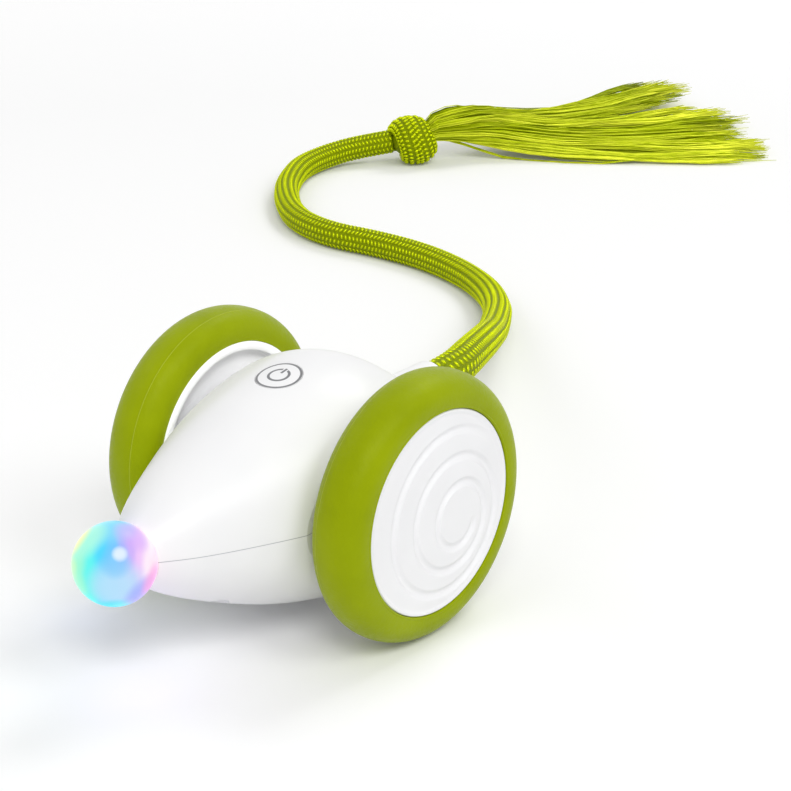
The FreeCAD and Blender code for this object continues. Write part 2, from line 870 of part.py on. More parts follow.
def shell_lip():
    outer = body(wall + seat_gap)
    inner = body(wall + seat_gap + lip_thickness)
    root = body(wall - 0.4).cut(inner)
    front = cavity_front + 6.0
    room = (-whole, whole), (front, bulkhead_y - 1)
    upper = outer.cut(inner).common(block(*room, (axle_z - 0.5, axle_z + lip_height)))
    lower = root.common(block(*room, (axle_z - 2, axle_z)))
    ring = fused([upper, lower])
    gap = bush_flange_radius + 1.0
    return ring.cut(block((-whole, whole), (-gap, gap), (0, whole)))


def lower_shell(casing, outer):
    half = casing.common(below(axle_z))
    inside = [nose_ring()] + cradle_ribs(0, axle_z - 0.2) + battery_cradle() + port_pad()
    inside += [rod(boss_radius, (x, y, 0), (x, y, axle_z)) for x, y in screw_spots()]
    limit = outer.common(below(axle_z))
    half = fused([half] + [piece.common(limit) for piece in inside] + [shell_lip()])
    seat = axle_z - screw_seat
    cuts = bush_holes() + nose_cuts() + port_cuts()
    for x, y in screw_spots():
        cuts.append(rod(screw_head_radius + seat_gap, (x, y, 0), (x, y, seat)))
        cuts.append(rod(screw_radius + seat_gap, (x, y, 0), (x, y, axle_z + 3)))
    for cut in cuts:
        half = half.cut(cut)
    return half


def shell_screws():
    seat = axle_z - screw_seat
    screws = []
    for x, y in screw_spots():
        head = rod(screw_head_radius, (x, y, seat - screw_head), (x, y, seat))
        shank = rod(screw_radius, (x, y, seat), (x, y, seat + screw_length))
        cross = [block((x - a, x + a), (y - b, y + b), (0, seat - screw_head + 0.6))
                 for a, b in ((1.2, 0.25), (0.25, 1.2))]
        screws.append(fused([head, shank]).cut(fused(cross)))
    return Part.makeCompound(screws)


# Tail
def tail_rod(radius, y0, y1):
    return rod(radius, (0, y0, socket_z), (0, y1, socket_z))


def tail_socket():
    flange = bulkhead_y - socket_flange
    tube = tail_rod(socket_radius, flange, socket_end)
    mouth = [edge for edge in tube.Edges
             if len(edge.Vertexes) == 1 and abs(edge.BoundBox.YMax - socket_end) < 0.01]
    tube = tube.makeFillet(0.35, mouth)
    solid = fused([tube, tail_rod(socket_flange_radius, flange, bulkhead_y)])
    return solid.cut(tail_rod(socket_bore, cord_start - ferrule_length, whole))


def tail_ferrule():
    start = cord_start - ferrule_length
    cup = tail_rod(socket_bore - running_gap, start, cord_start + ferrule_grip)
    return cup.cut(tail_rod(cord_diameter / 2, cord_start, whole))


def bent_tube(name, points, radius_of_tube):
    # Straight runs joined by tangent arcs, each as large as its two runs allow
    edges = []
    radii = []
    last = points[0]
    length = 0.0
    for before, here, after in zip(points, points[1:], points[2:]):
        back = (before - here).normalize()
        on = (after - here).normalize()
        turn = math.pi - back.getAngle(on)
        shorter = min((before - here).Length, (after - here).Length)
        reach = 0.45 * shorter
        radius = reach / math.tan(turn / 2)
        start = here + back * reach
        end = here + on * reach
        inward = (back + on).normalize()
        middle = here + inward * (radius / math.cos(turn / 2) - radius)
        edges.append(Part.LineSegment(last, start).toShape())
        edges.append(Part.Arc(start, middle, end).toShape())
        length += (start - last).Length + radius * turn
        radii.append(round(radius, 1))
        last = end
    edges.append(Part.LineSegment(last, points[-1]).toShape())
    length += (points[-1] - last).Length
    wire = Part.Wire(edges)
    circle = Part.Circle(points[0], points[1] - points[0], radius_of_tube)
    profile = Part.Wire(circle.toShape())
    solid = wire.makePipeShell([profile], True, False)
    expected = length * math.pi * radius_of_tube ** 2
    print(name, "radii", radii, "length", round(length, 1))
    print(name, "volume", round(solid.Volume, 1), "of", round(expected, 1))
    return solid


def tail_cord():
    return bent_tube("tail cord", [Vector(*point) for point in route], cord_diameter / 2)


def knot_frame():
    end = Vector(*route[-1])
    heading = math.radians(knot_heading)
    along = Vector(math.cos(heading), math.sin(heading), 0)
    start = end - along * knot_bite
    return Vector(start.x, start.y, knot_radius), along


def tail_knot():
    start, along = knot_frame()
    half = knot_length / 2
    # Barrel with rounded shoulders, as (distance along, radius)
    outline = [(0, 5.4), (1.2, 7.0), (4.0, knot_radius - 0.25), (half, knot_radius),
               (knot_length - 4.0, knot_radius - 0.25), (knot_length - 1.2, 7.0),
               (knot_length, 5.4)]
    points = [start + along * d + Vector(0, 0, r) for d, r in outline]
    curve = Part.BSplineCurve()
    curve.interpolate(points)
    end = start + along * knot_length
    edges = [curve.toShape(), Part.makeLine(points[-1], end), Part.makeLine(end, start),
             Part.makeLine(start, points[0])]
    face = Part.Face(Part.Wire(edges))
    return face.revolve(start, along, 360)


def tail_tassel():
    # Oval sections along the tassel, each (share of its length, width, height, height of
    # its middle, shift to the left), the wide ones resting on the floor
    start, along = knot_frame()
    root = start + along * (knot_length - 0.5)
    heading = math.radians(tassel_heading)
    forward = Vector(math.cos(heading), math.sin(heading), 0)
    across_it = Vector(-forward.y, forward.x, 0)
    spread = tassel_spread
    stations = [(0.0, 9.0, 8.5, knot_radius + 1.8, 1.0), (0.09, 12.0, 11.8, 12.2, 1.6),
                (0.19, 20.0, 11.6, 9.6, 1.3), (0.35, spread * 0.44, 9.6, 5.8, -3.3),
                (0.56, spread * 0.7, 8.2, 4.5, -5.2), (0.7, spread * 0.88, 7.6, 4.2, -5.0),
                (0.84, spread, 7.0, 3.9, -3.6), (1.0, spread * 0.67, 6.0, 3.4, 1.0)]
    wires = []
    for share, width, height, z, shift in stations:
        centre = root + forward * (share * tassel_length) + across_it * shift
        centre.z = z
        side = across_it * (width / 2 - height / 2)
        up = Vector(0, 0, height / 2)
        out = across_it * (width / 2)
        left, right = centre + side, centre - side
        edges = [Part.makeLine(left + up, right + up),
                 Part.Arc(right + up, centre - out, right - up).toShape(),
                 Part.makeLine(right - up, left - up),
                 Part.Arc(left - up, centre + out, left + up).toShape()]
        wires.append(Part.Wire(edges))
    return Part.makeLoft(wires, True, True)


# Leads, each pair a group of two. Motor leads run up to the board, the others between
# the boards and the battery
def lead_pair(name, points, sideways):
    pair = []
    for side in (-0.5, 0.5):
        shift = Vector(*sideways) * (side * lead_spacing)
        pair.append(bent_tube(name, [Vector(*point) + shift for point in points], lead_radius))
    return Part.makeCompound(pair)


def motor_leads():
    y, z = motor
    x = motor_tab_x + motor_tab / 2
    top = z + motor_radius + motor_tab_rise
    bend = (board_z - top) / 3
    points = [(x, y, top), (x, y, top + bend), (x + 0.9, y, top + 2 * bend),
              (x + 0.9, y, board_z)]
    return lead_pair("motor lead", points, (0, motor_tab_spacing / lead_spacing, 0))


def battery_leads():
    y = battery_y[0]
    z = battery_z + battery_height / 2
    end = -board_front + 1.0
    points = [(0, y, z), (0, y - 4.5, z), (0, y - 8.0, z + 6), (0, y - 7.5, z + 14),
              (0, end - 1, board_z - 8), (0, end, board_z - 4), (0, end, board_z)]
    return lead_pair("battery lead", points, (1, 0, 0))


def nose_leads():
    y = led_board_y + led_board_thickness
    z = nose_z + 2.0
    end = -board_front + 3.0
    points = [(0, y, z), (0, y + 4, z), (0, y + 10, z + 3.5), (0, end - 5, board_z - 7),
              (0, end - 0.5, board_z - 5), (0, end, board_z - 2.2), (0, end, board_z)]
    return lead_pair("nose lead", points, (2, 0, 0))


def charge_leads():
    y = port_y - 2.0
    z = port_top + charge_board_thickness
    end = board_rear - 1.0
    points = [(0, y, z), (0, y, z + 5), (0, y - 2, z + 12), (0, end + 1.5, board_z - 9),
              (0, end, board_z - 4), (0, end, board_z)]
    return lead_pair("charge lead", points, (1, 0, 0))


def print_axes():
    def moved(y, z):
        return round(y + origin_y, 4), round(z, 4)

    print("axle", moved(*axle), "idler", moved(*idler), "motor", moved(*motor))
    print("button top", moved(button_top.y, button_top.z), "outward",
          round(button_out.y, 5), round(button_out.z, 5))
    print("nose centre", moved(-nose_reach, nose_z), "charging socket", moved(port_y, port_z))


def main():
    os.makedirs("parts", exist_ok=True)
    print_axes()
    outer = body()
    cavity = body(wall).common(block((-whole, whole), (cavity_front, whole), (-whole, whole)))
    casing = outer.cut(cavity)
    save("upper_shell", upper_shell(casing, outer))
    save("lower_shell", lower_shell(casing, outer))
    save("power_button", power_button(outer))
    save("switch_plunger", switch_plunger())
    save("power_switch", power_switch())
    save("main_board", main_board())
    save("board_chips", board_chips())
    save("board_screws", board_screws())
    save("battery_cell", battery_cell())
    save("battery_pad", battery_pad())
    save("usb_socket", usb_socket())
    save("charge_board", charge_board())
    save("nose_ball", nose_ball())
    save("nose_led_board", led_board())
    save("nose_led", nose_led())
    save("shell_screws", shell_screws())
    save("battery_leads", battery_leads())
    save("nose_leads", nose_leads())
    save("charge_leads", charge_leads())
    save("tail_socket", tail_socket())
    save("tail_ferrule", tail_ferrule())
    save("tail_cord", tail_cord())
    save("tail_knot", tail_knot())
    save("tail_tassel", tail_tassel())
    pieces = {
        "gearbox_case": gearbox_case(), "gearbox_cover": gearbox_cover(),
        "gearbox_screws": gearbox_screws(), "motor": motor_can(), "rotor_shaft": rotor(),
        "motor_leads": motor_leads(),
        "motor_pinion": pinion(), "idler_gear": idler_gear(), "idler_pin": idler_pin(),
        "output_gear": output_gear(), "wheel_shaft": wheel_shaft(), "wheel_screw": wheel_screw(),
        "axle_bush": axle_bush(), "tyre": tyre(), "wheel_rim": wheel_rim(), "hub_cap": hub_cap(),
    }
    for side, word in ((1, "left"), (-1, "right")):
        for name, solid in pieces.items():
            save("%s_%s" % (word, name), mirrored(solid, side))


main()
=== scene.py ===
import bpy
import json
import math
import random
from mathutils import Matrix, Vector, kdtree

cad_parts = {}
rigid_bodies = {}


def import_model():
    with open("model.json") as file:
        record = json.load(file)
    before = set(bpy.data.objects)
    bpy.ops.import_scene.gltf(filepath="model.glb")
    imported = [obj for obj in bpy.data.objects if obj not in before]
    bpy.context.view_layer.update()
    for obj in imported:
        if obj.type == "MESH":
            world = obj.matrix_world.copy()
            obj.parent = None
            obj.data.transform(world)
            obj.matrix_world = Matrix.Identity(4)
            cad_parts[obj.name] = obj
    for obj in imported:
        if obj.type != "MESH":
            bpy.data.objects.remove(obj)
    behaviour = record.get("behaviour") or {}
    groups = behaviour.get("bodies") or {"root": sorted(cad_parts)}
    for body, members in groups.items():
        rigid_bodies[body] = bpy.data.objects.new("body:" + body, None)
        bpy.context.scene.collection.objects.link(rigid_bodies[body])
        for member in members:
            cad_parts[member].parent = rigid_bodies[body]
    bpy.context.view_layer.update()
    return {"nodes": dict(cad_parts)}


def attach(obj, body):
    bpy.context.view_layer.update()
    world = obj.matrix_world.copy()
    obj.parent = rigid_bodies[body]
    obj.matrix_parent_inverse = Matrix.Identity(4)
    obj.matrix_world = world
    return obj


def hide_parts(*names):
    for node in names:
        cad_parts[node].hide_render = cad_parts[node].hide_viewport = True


# Robotic mouse cat toy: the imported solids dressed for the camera. Metres, Z up, floor at
# zero. The axle runs along X and the nose points along -Y.
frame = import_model()
mm = 0.001
axle = Vector((0, 14.05, 30)) * mm  # middle of the wheels' axle


def dropSelection():
    for piece in bpy.context.view_layer.objects:
        piece.select_set(False)
    bpy.context.view_layer.objects.active = None


def takeUp(piece):
    dropSelection()
    piece.select_set(True)
    bpy.context.view_layer.objects.active = piece


def editWhole():
    bpy.ops.object.mode_set(mode="EDIT")
    bpy.ops.mesh.select_all(action="SELECT")


def newPiece(name, data):
    piece = bpy.data.objects.new(name, data)
    bpy.context.scene.collection.objects.link(piece)
    return piece


def paint(red, green, blue):
    # A colour as a screen shows it, turned into the linear one that a shader takes
    parts = []
    for level in (red / 255, green / 255, blue / 255):
        parts.append(level / 12.92 if level < 0.04 else ((level + 0.055) / 1.055) ** 2.4)
    return (*parts, 1.0)


# Camera, where the photograph was taken from
photoCamera = {
    "place": (0.326823, -0.352891, 0.249750),
    "turn": 39.574,  # degrees round from the front
    "rise": 22.395,  # degrees above level
    "lens": 111.70,
    "sensor": 36,
    "nearest": 0.01,
}
bpy.ops.object.camera_add(
    location=photoCamera["place"],
    rotation=(math.radians(90 - photoCamera["rise"]), 0, math.radians(photoCamera["turn"])),
)
camera = bpy.context.active_object
camera.name = "photoCamera"
camera.data.lens = photoCamera["lens"]
camera.data.sensor_width = photoCamera["sensor"]
camera.data.clip_start = photoCamera["nearest"]
bpy.context.scene.camera = camera
print("camera set")


# Shader helpers
def newFinish(name):
    finish = bpy.data.materials.new(name)
    finish.use_nodes = True
    return finish, finish.node_tree, finish.node_tree.nodes["Principled BSDF"]


def addNode(tree, kind, **settings):
    node = tree.nodes.new("ShaderNode" + kind)
    for name, value in settings.items():
        setattr(node, name, value)
    return node


def setInputs(node, values):
    for name, value in values.items():
        node.inputs[name].default_value = value


def sumUp(tree, operation, *values):
    # One Math node, fed with numbers and with other nodes' outputs
    node = addNode(tree, "Math", operation=operation)
    for number, value in enumerate(values):
        if isinstance(value, (int, float)):
            node.inputs[number].default_value = value
        else:
            tree.links.new(value, node.inputs[number])
    return node.outputs[0]


def times(tree, first, second):
    return sumUp(tree, "MULTIPLY", first, second)


def vectorSum(tree, operation, source, other=(0, 0, 0)):
    node = addNode(tree, "VectorMath", operation=operation)
    node.inputs[1].default_value = other
    tree.links.new(source, node.inputs[0])
    return node.outputs["Value" if operation in ("DOT_PRODUCT", "LENGTH") else "Vector"]


def dotWith(tree, source, direction):
    return vectorSum(tree, "DOT_PRODUCT", source, direction)


def partOf(tree, places, letter):
    node = addNode(tree, "SeparateXYZ")
    tree.links.new(places, node.inputs[0])
    return node.outputs[letter]


def mapped(tree, places, scale=(1, 1, 1), shift=(0, 0, 0), turn=(0, 0, 0)):
    mapping = addNode(tree, "Mapping")
    setInputs(mapping, {"Location": shift, "Rotation": turn, "Scale": scale})
    tree.links.new(places, mapping.inputs["Vector"])
    return mapping.outputs["Vector"]


def objectPlaces(tree, **changes):
    return mapped(tree, addNode(tree, "TexCoord").outputs["Object"], **changes)


def speckle(tree, places, scale, detail=3.0, roughness=0.55):
    texture = addNode(tree, "TexNoise")
    setInputs(texture, {"Scale": scale, "Detail": detail, "Roughness": roughness})
    tree.links.new(places, texture.inputs["Vector"])
    return texture.outputs["Fac"]


def ramp(tree, value, stops, easing="LINEAR"):
    node = addNode(tree, "ValToRGB")
    node.color_ramp.interpolation = easing
    band = node.color_ramp.elements
    while len(band) < len(stops):
        band.new(0.5)
    for element, (place, colour) in zip(band, stops):
        element.position = place
        element.color = paint(*colour)
    tree.links.new(value, node.inputs["Fac"])
    return node.outputs["Color"]


def blendColours(tree, share, first, second, mode="MIX"):
    node = addNode(tree, "Mix", data_type="RGBA", blend_type=mode)
    for socket, value in ((node.inputs[0], share), (node.inputs[6], first),
                          (node.inputs[7], second)):
        if hasattr(value, "is_linked"):
            tree.links.new(value, socket)
        else:
            socket.default_value = value
    return node.outputs[2]


def rescale(tree, value, low, high, newLow, newHigh, kind="LINEAR"):
    node = addNode(tree, "MapRange", interpolation_type=kind)
    node.clamp = True
    tree.links.new(value, node.inputs["Value"])
    setInputs(node, {"From Min": low, "From Max": high, "To Min": newLow, "To Max": newHigh})
    return node.outputs["Result"]


def roughen(tree, shader, height, strength, depth):
    node = addNode(tree, "Bump")
    setInputs(node, {"Strength": strength, "Distance": depth})
    tree.links.new(height, node.inputs["Height"])
    tree.links.new(node.outputs["Normal"], shader.inputs["Normal"])


def coat(tree, shader, colour, grain, gloss):
    # The colour, and the roughness from where the grain is low to where it is high
    tree.links.new(colour, shader.inputs["Base Color"])
    tree.links.new(rescale(tree, grain, 0.3, 0.7, *gloss), shader.inputs["Roughness"])


def mottled(tree, places, recipe, detail=2.0):
    # A faint cloud between a finish's dark and light tones
    return ramp(tree, speckle(tree, places, recipe["cloud"], detail),
                [(0.3, recipe["dark"]), (0.7, recipe["light"])])


def lineAt(tree, value, place, narrow, wide):
    # 1 on a line where the value is at its place, and 0 away from it
    away = sumUp(tree, "ABSOLUTE", sumUp(tree, "SUBTRACT", value, place))
    return rescale(tree, away, narrow, wide, 1, 0, "SMOOTHSTEP")


def lookedAt(tree):
    # 1 for what the camera sees, and for what gloss and glass show of it
    seen = addNode(tree, "LightPath")
    mirrored = sumUp(tree, "MAXIMUM", seen.outputs["Is Glossy Ray"],
                     seen.outputs["Is Transmission Ray"])
    return sumUp(tree, "MAXIMUM", seen.outputs["Is Camera Ray"], mirrored)


# Moulded white plastic: satin, faintly uneven, with a fine grain in the gloss
whitePlastic = {
    "light": (248, 248, 248),
    "dark": (243, 243, 244),
    "gloss": (0.30, 0.39),
    "grain": 2600,
    "cloud": 45,
    "seam": (176, 176, 182),
    "seamHeight": 30.0 * mm,
    "seamWidth": 0.07 * mm,
    "seamDepth": 8.0,  # times the depth of the grain
    "bump": 0.04 * mm,
}


def plasticFinish(name, recipe, seam=False):
    finish, tree, shader = newFinish(name)
    places = objectPlaces(tree)
    colour = mottled(tree, places, recipe)
    grain = speckle(tree, places, recipe["grain"], 3.0, 0.6)
    height = grain
    if seam:  # the line where the two shells meet
        line = lineAt(tree, partOf(tree, places, "Z"), recipe["seamHeight"],
                      recipe["seamWidth"] * 0.4, recipe["seamWidth"] * 1.8)
        colour = blendColours(tree, line, colour, paint(*recipe["seam"]))
        height = sumUp(tree, "SUBTRACT", grain, times(tree, line, recipe["seamDepth"]))
    coat(tree, shader, colour, grain, recipe["gloss"])
    shader.inputs["Specular IOR Level"].default_value = 0.4
    roughen(tree, shader, height, 0.10, recipe["bump"])
    return finish


shellFinish = plasticFinish("whiteShell", whitePlastic, seam=True)
capFinish = plasticFinish("whiteCap", dict(whitePlastic, light=(248, 248, 249), gloss=(0.34, 0.43)))


# Olive-lime silicone of the tyres
limeSilicone = {
    "dark": (142, 158, 2),
    "light": (155, 171, 5),
    "gloss": (0.29, 0.52),
    "grain": 1100,
    "cloud": 60,
    "bump": 0.16 * mm,
    # the mould's parting line is a real ridge, and its lighter colour is a painted highlight along
    # that ridge
    "partingRidgeSheen": (186, 201, 62),
    "partingPlace": 26.8 * mm,  # the mould's line, out from the toy's middle
    "partingWidth": 0.16 * mm,
    "partingRise": 1.4,  # times the depth of the grain
    "shine": (1.0, 1.0, 0.4, 1.0),  # it tints what it mirrors
}


def siliconeFinish(name, recipe):
    finish, tree, shader = newFinish(name)
    places = objectPlaces(tree)
    colour = mottled(tree, places, recipe, 3.0)
    grain = speckle(tree, places, recipe["grain"], 4.0, 0.65)
    partingRidgeSheen = lineAt(tree, sumUp(tree, "ABSOLUTE", partOf(tree, places, "X")),
                     recipe["partingPlace"], recipe["partingWidth"] * 0.5,
                     recipe["partingWidth"])
    # the parting line is painted lighter: a painted highlight on its ridge
    colour = blendColours(tree, times(tree, partingRidgeSheen, 0.5), colour,
                          paint(*recipe["partingRidgeSheen"]))
    coat(tree, shader, colour, grain, recipe["gloss"])
    setInputs(shader, {"IOR": 1.22, "Specular IOR Level": 0.6,
                       "Specular Tint": recipe["shine"]})
    height = sumUp(tree, "ADD", grain, times(tree, partingRidgeSheen, recipe["partingRise"]))
    roughen(tree, shader, height, 0.6, recipe["bump"])
    return finish


tyreFinish = siliconeFinish("limeSilicone", limeSilicone)


# Shiny polyester of the braid and the tassel
braidYarn = {
    # the sleeve shows only in the gaps between the stitches, and it is painted darker than the
    # stitches of the same yarn: painted shade in those gaps
    "groove": (104, 118, 0),
    "sleeve": (148, 164, 0),
    "stitchDark": (170, 188, 0),
    "stitchLight": (222, 234, 16),
    # the lightest stop is a highlight colour, reached where the painted glints add to the tone
    "threads": [(0.25, (88, 104, 0)), (0.52, (180, 197, 0)), (0.86, (250, 255, 70))],
    "shine": (1.0, 1.0, 0.3, 1.0),  # the yarn tints what it mirrors
}


def satinYarn(shader, gloss, satin):
    # Satin yarn mirrors in its own colour, so it is partly metallic
    setInputs(shader, {"Roughness": gloss, "Metallic": satin, "IOR": 1.25,
                       "Specular Tint": braidYarn["shine"]})


def yarnFinish(name, low, high, gloss, weave, satin):
    # The weave runs round and along the sleeve, so it is read from the piece's UV map
    finish, tree, shader = newFinish(name)
    spots = addNode(tree, "UVMap").outputs["UV"]
    fibre = speckle(tree, mapped(tree, spots, weave), 1.0, 4.0, 0.7)
    colour = ramp(tree, fibre, [(0.32, low), (0.68, high)])
    tree.links.new(colour, shader.inputs["Base Color"])
    satinYarn(shader, gloss, satin)
    roughen(tree, shader, fibre, 0.5, 0.12 * mm)
    return finish


# the sleeve's darker colours are painted shade in the gaps between the stitches
sleeveFinish = yarnFinish("braidSleeve", braidYarn["groove"], braidYarn["sleeve"],
                          gloss=0.6, weave=(90, 8, 1), satin=0.0)
stitchFinish = yarnFinish("braidStitch", braidYarn["stitchDark"], braidYarn["stitchLight"],
                          gloss=0.24, weave=(6, 30, 1), satin=0.55)


# Tail cord: the same points as the solid's route, in millimetres, on one smooth spline
tailCord = {
    "route": [
        (0, 50.05, 37.7), (0, 63.05, 37.7), (-7.5, 79.85, 35.4), (-21.5, 104.25, 28.5),
        (-43.5, 136.45, 16), (-69.5, 173.25, 6), (-89.9, 190.45, 4), (-113.5, 197.95, 4),
        (-135, 198.45, 4), (-154.2, 195.25, 4), (-173.1, 200.85, 4), (-191.5, 217.25, 4),
        (-201.3, 231.05, 4), (-207.5, 243.65, 4), (-208.6, 256.25, 4.4),
        (-204.5, 268.25, 5.8), (-195.7, 277.25, 7.6),
    ],
    "exit": (0, 0.05505, 0.0377),
    "thick": 8.0 * mm,
    "length": 352 * mm,
    "around": 72,  # flat faces round the sleeve
    "ribs": 12,
    # what a braided piece is made by, its lengths in millimetres
    "wide": 4.0,  # half sizes across and up
    "tall": 4.0,
    "sleeveSeat": 0.985,  # where the sleeve and the stitches lie, as shares of the half sizes
    "stitchSeat": 0.955,
    "ringGap": 1.0,
    "ribDepth": 0.06,
    "stitchGap": 1.42,
    "stitch": (0.94, 0.40, 0.36),  # half sizes: long, broad and high
    "lean": 24,  # degrees off square to the rib, leaning the other way on the next rib
    "rootStretch": 0.5,  # how much longer the stitches are where the braid leaves the body
    "rootSwell": 0.11,  # how much thicker the braid is there
    "rootReach": 85 * mm,  # how far along that has died away
    "tilts": (-0.08, 0.08),  # how unevenly the stitches are laid, in radians
    "sizes": (0.94, 1.06),
    "seed": 4,
}


def smoothLine(name, points, order=3, fine=24):
    # Places along a spline that has no thickness, which is then put away
    curve = bpy.data.curves.new(name, "CURVE")
    curve.dimensions = "3D"
    curve.resolution_u = fine
    spline = curve.splines.new("NURBS")
    spline.points.add(len(points) - 1)
    for spot, place in zip(spline.points, points):
        spot.co = (*place, 1.0)
    spline.order_u = order
    spline.use_endpoint_u = True
    route = newPiece(name, curve)
    bpy.context.view_layer.update()
    drawn = bpy.data.meshes.new_from_object(route)
    line = [vertex.co.copy() for vertex in drawn.vertices]
    bpy.data.meshes.remove(drawn)
    bpy.data.curves.remove(curve)
    return line


def rootShare(passed):
    # 1 where the tail leaves the body, easing to 0 further along
    left = max(0.0, 1 - passed / tailCord["rootReach"])
    return left * left * (3 - 2 * left)


def walk(points, gap, start=0.0, stretch=0.0):
    # Places at even distances along a line of points, wider apart at its root if stretched
    spots = []
    reach = start
    passed = 0.0
    for before, here in zip(points, points[1:]):
        run = (here - before).length
        while reach <= passed + run and run > 0:
            spots.append(before.lerp(here, (reach - passed) / run))
            reach += gap * (1 + stretch * rootShare(reach))
        passed += run
    return spots


def headed(degrees):
    return Vector((math.cos(math.radians(degrees)), math.sin(math.radians(degrees)), 0))


def aheadAt(points, number):
    following = points[min(number + 1, len(points) - 1)]
    return (following - points[max(number - 1, 0)]).normalized()


def framesAlong(points):
    # Place, forward, side and up at each point, turned as little as possible on the way
    frames = []
    side = None
    for number, point in enumerate(points):
        ahead = aheadAt(points, number)
        if side is None:
            side = ahead.cross(Vector((0, 0, 1))).normalized()
        side = (side - ahead * side.dot(ahead)).normalized()
        frames.append((point, ahead, side, side.cross(ahead)))
    return frames


def meshPiece(name, corners, faces, spots):
    mesh = bpy.data.meshes.new(name)
    mesh.from_pydata(corners, [], faces)
    layer = mesh.uv_layers.new(name="UVMap")
    for loop in mesh.loops:
        layer.data[loop.index].uv = spots[loop.vertex_index]
    mesh.shade_smooth()
    mesh.validate()
    return newPiece(name, mesh)


def tidyNormals(piece):
    takeUp(piece)
    editWhole()
    bpy.ops.mesh.normals_make_consistent(inside=False)
    bpy.ops.object.mode_set(mode="OBJECT")


def braidSleeve(name, points, recipe, turning=framesAlong):
    # A ribbed tube, oval where wide and tall differ, closed at both ends
    around = tailCord["around"]
    wide = recipe["wide"] * mm * recipe["sleeveSeat"]
    tall = recipe["tall"] * mm * recipe["sleeveSeat"]
    frames = turning(walk(points, recipe["ringGap"] * mm) + [points[-1]])
    corners = []
    spots = []
    faces = []
    passed = 0.0
    for ring, (place, ahead, side, up) in enumerate(frames):
        if ring:
            passed += (place - frames[ring - 1][0]).length
        for step in range(around):
            angle = 2 * math.pi * step / around
            groove = (0.5 + 0.5 * math.cos(tailCord["ribs"] * angle)) ** 1.5
            swell = 1 - recipe["ribDepth"] * groove
            swell *= 1 + recipe["rootSwell"] * rootShare(passed)
            corners.append(place + side * (wide * swell * math.cos(angle))
                           + up * (tall * swell * math.sin(angle)))
            spots.append((step / around, passed / (10 * mm)))
    for ring in range(len(frames) - 1):
        for step in range(around):
            following = (step + 1) % around
            a = ring * around
            faces.append((a + step, a + following, a + around + following, a + around + step))
    for ring in (0, len(frames) - 1):
        middle = len(corners)
        corners.append(frames[ring][0])
        spots.append((0, 0))
        for step in range(around):
            pair = (ring * around + step, ring * around + (step + 1) % around)
            faces.append((*pair, middle) if ring else (pair[1], pair[0], middle))
    piece = meshPiece(name, corners, faces, spots)
    tidyNormals(piece)
    return piece


def smallOval():
    # One stitch, modelled once: a coarse ball, which each stitch draws out to its size
    dropSelection()
    bpy.ops.mesh.primitive_ico_sphere_add(subdivisions=1, radius=1)
    ball = bpy.context.active_object
    corners = [vertex.co.copy() for vertex in ball.data.vertices]
    faces = [tuple(face.vertices) for face in ball.data.polygons]
    bpy.data.meshes.remove(ball.data)
    return corners, faces


def braidStitches(name, points, recipe, turning=framesAlong):
    # Slanted ovals in rows, one row to a rib, the lean changing side from rib to rib
    shape, shapeFaces = smallOval()
    long, broad, high = (size * mm for size in recipe["stitch"])
    wide = recipe["wide"] * mm * recipe["stitchSeat"]
    tall = recipe["tall"] * mm * recipe["stitchSeat"]
    gap = recipe["stitchGap"] * mm
    corners = []
    spots = []
    faces = []
    chance = random.Random(tailCord["seed"])
    for rib in range(tailCord["ribs"]):
        angle = 2 * math.pi * (rib + 0.5) / tailCord["ribs"]
        slant = math.radians(recipe["lean"]) * (1 if rib % 2 else -1)
        frames = turning(walk(points, gap, gap * (0.25 + 0.5 * (rib % 2)),
                              recipe["rootStretch"]))
        passed = 0.0
        for number, (place, ahead, side, up) in enumerate(frames):
            if number:
                passed += (place - frames[number - 1][0]).length
            swell = 1 + recipe["rootSwell"] * rootShare(passed)
            drawn = 1 + recipe["rootStretch"] * rootShare(passed)
            outward = side * (math.cos(angle) * tall) + up * (math.sin(angle) * wide)
            outward.normalize()
            foot = place + (side * (wide * math.cos(angle))
                            + up * (tall * math.sin(angle))) * swell
            sideways = ahead.cross(outward)
            tilt = slant + chance.uniform(*tailCord["tilts"])
            along = sideways * math.cos(tilt) + ahead * math.sin(tilt)
            across = ahead * math.cos(tilt) - sideways * math.sin(tilt)
            size = chance.uniform(*tailCord["sizes"])
            start = len(corners)
            for spot in shape:
                corners.append(foot + along * (spot.x * long * size * swell)
                               + across * (spot.y * broad * drawn)
                               + outward * (spot.z * high))
                spots.append((spot.x * 0.5 + rib, spot.y * 0.2 + number * 0.37))
            faces += [tuple(start + corner for corner in face) for face in shapeFaces]
    return meshPiece(name, corners, faces, spots)


routeLine = smoothLine("tailRoute", [Vector(place) * mm for place in tailCord["route"]])
print("tail route drawn")
tailSleeve = braidSleeve("tailBraid", routeLine, tailCord)
tailSleeve.data.materials.append(sleeveFinish)
tailStitches = braidStitches("tailBraidStitches", routeLine, tailCord)
tailStitches.data.materials.append(stitchFinish)
for piece in (tailSleeve, tailStitches):
    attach(piece, "chassis")
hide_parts("tail_cord")
print("tail cord braided")

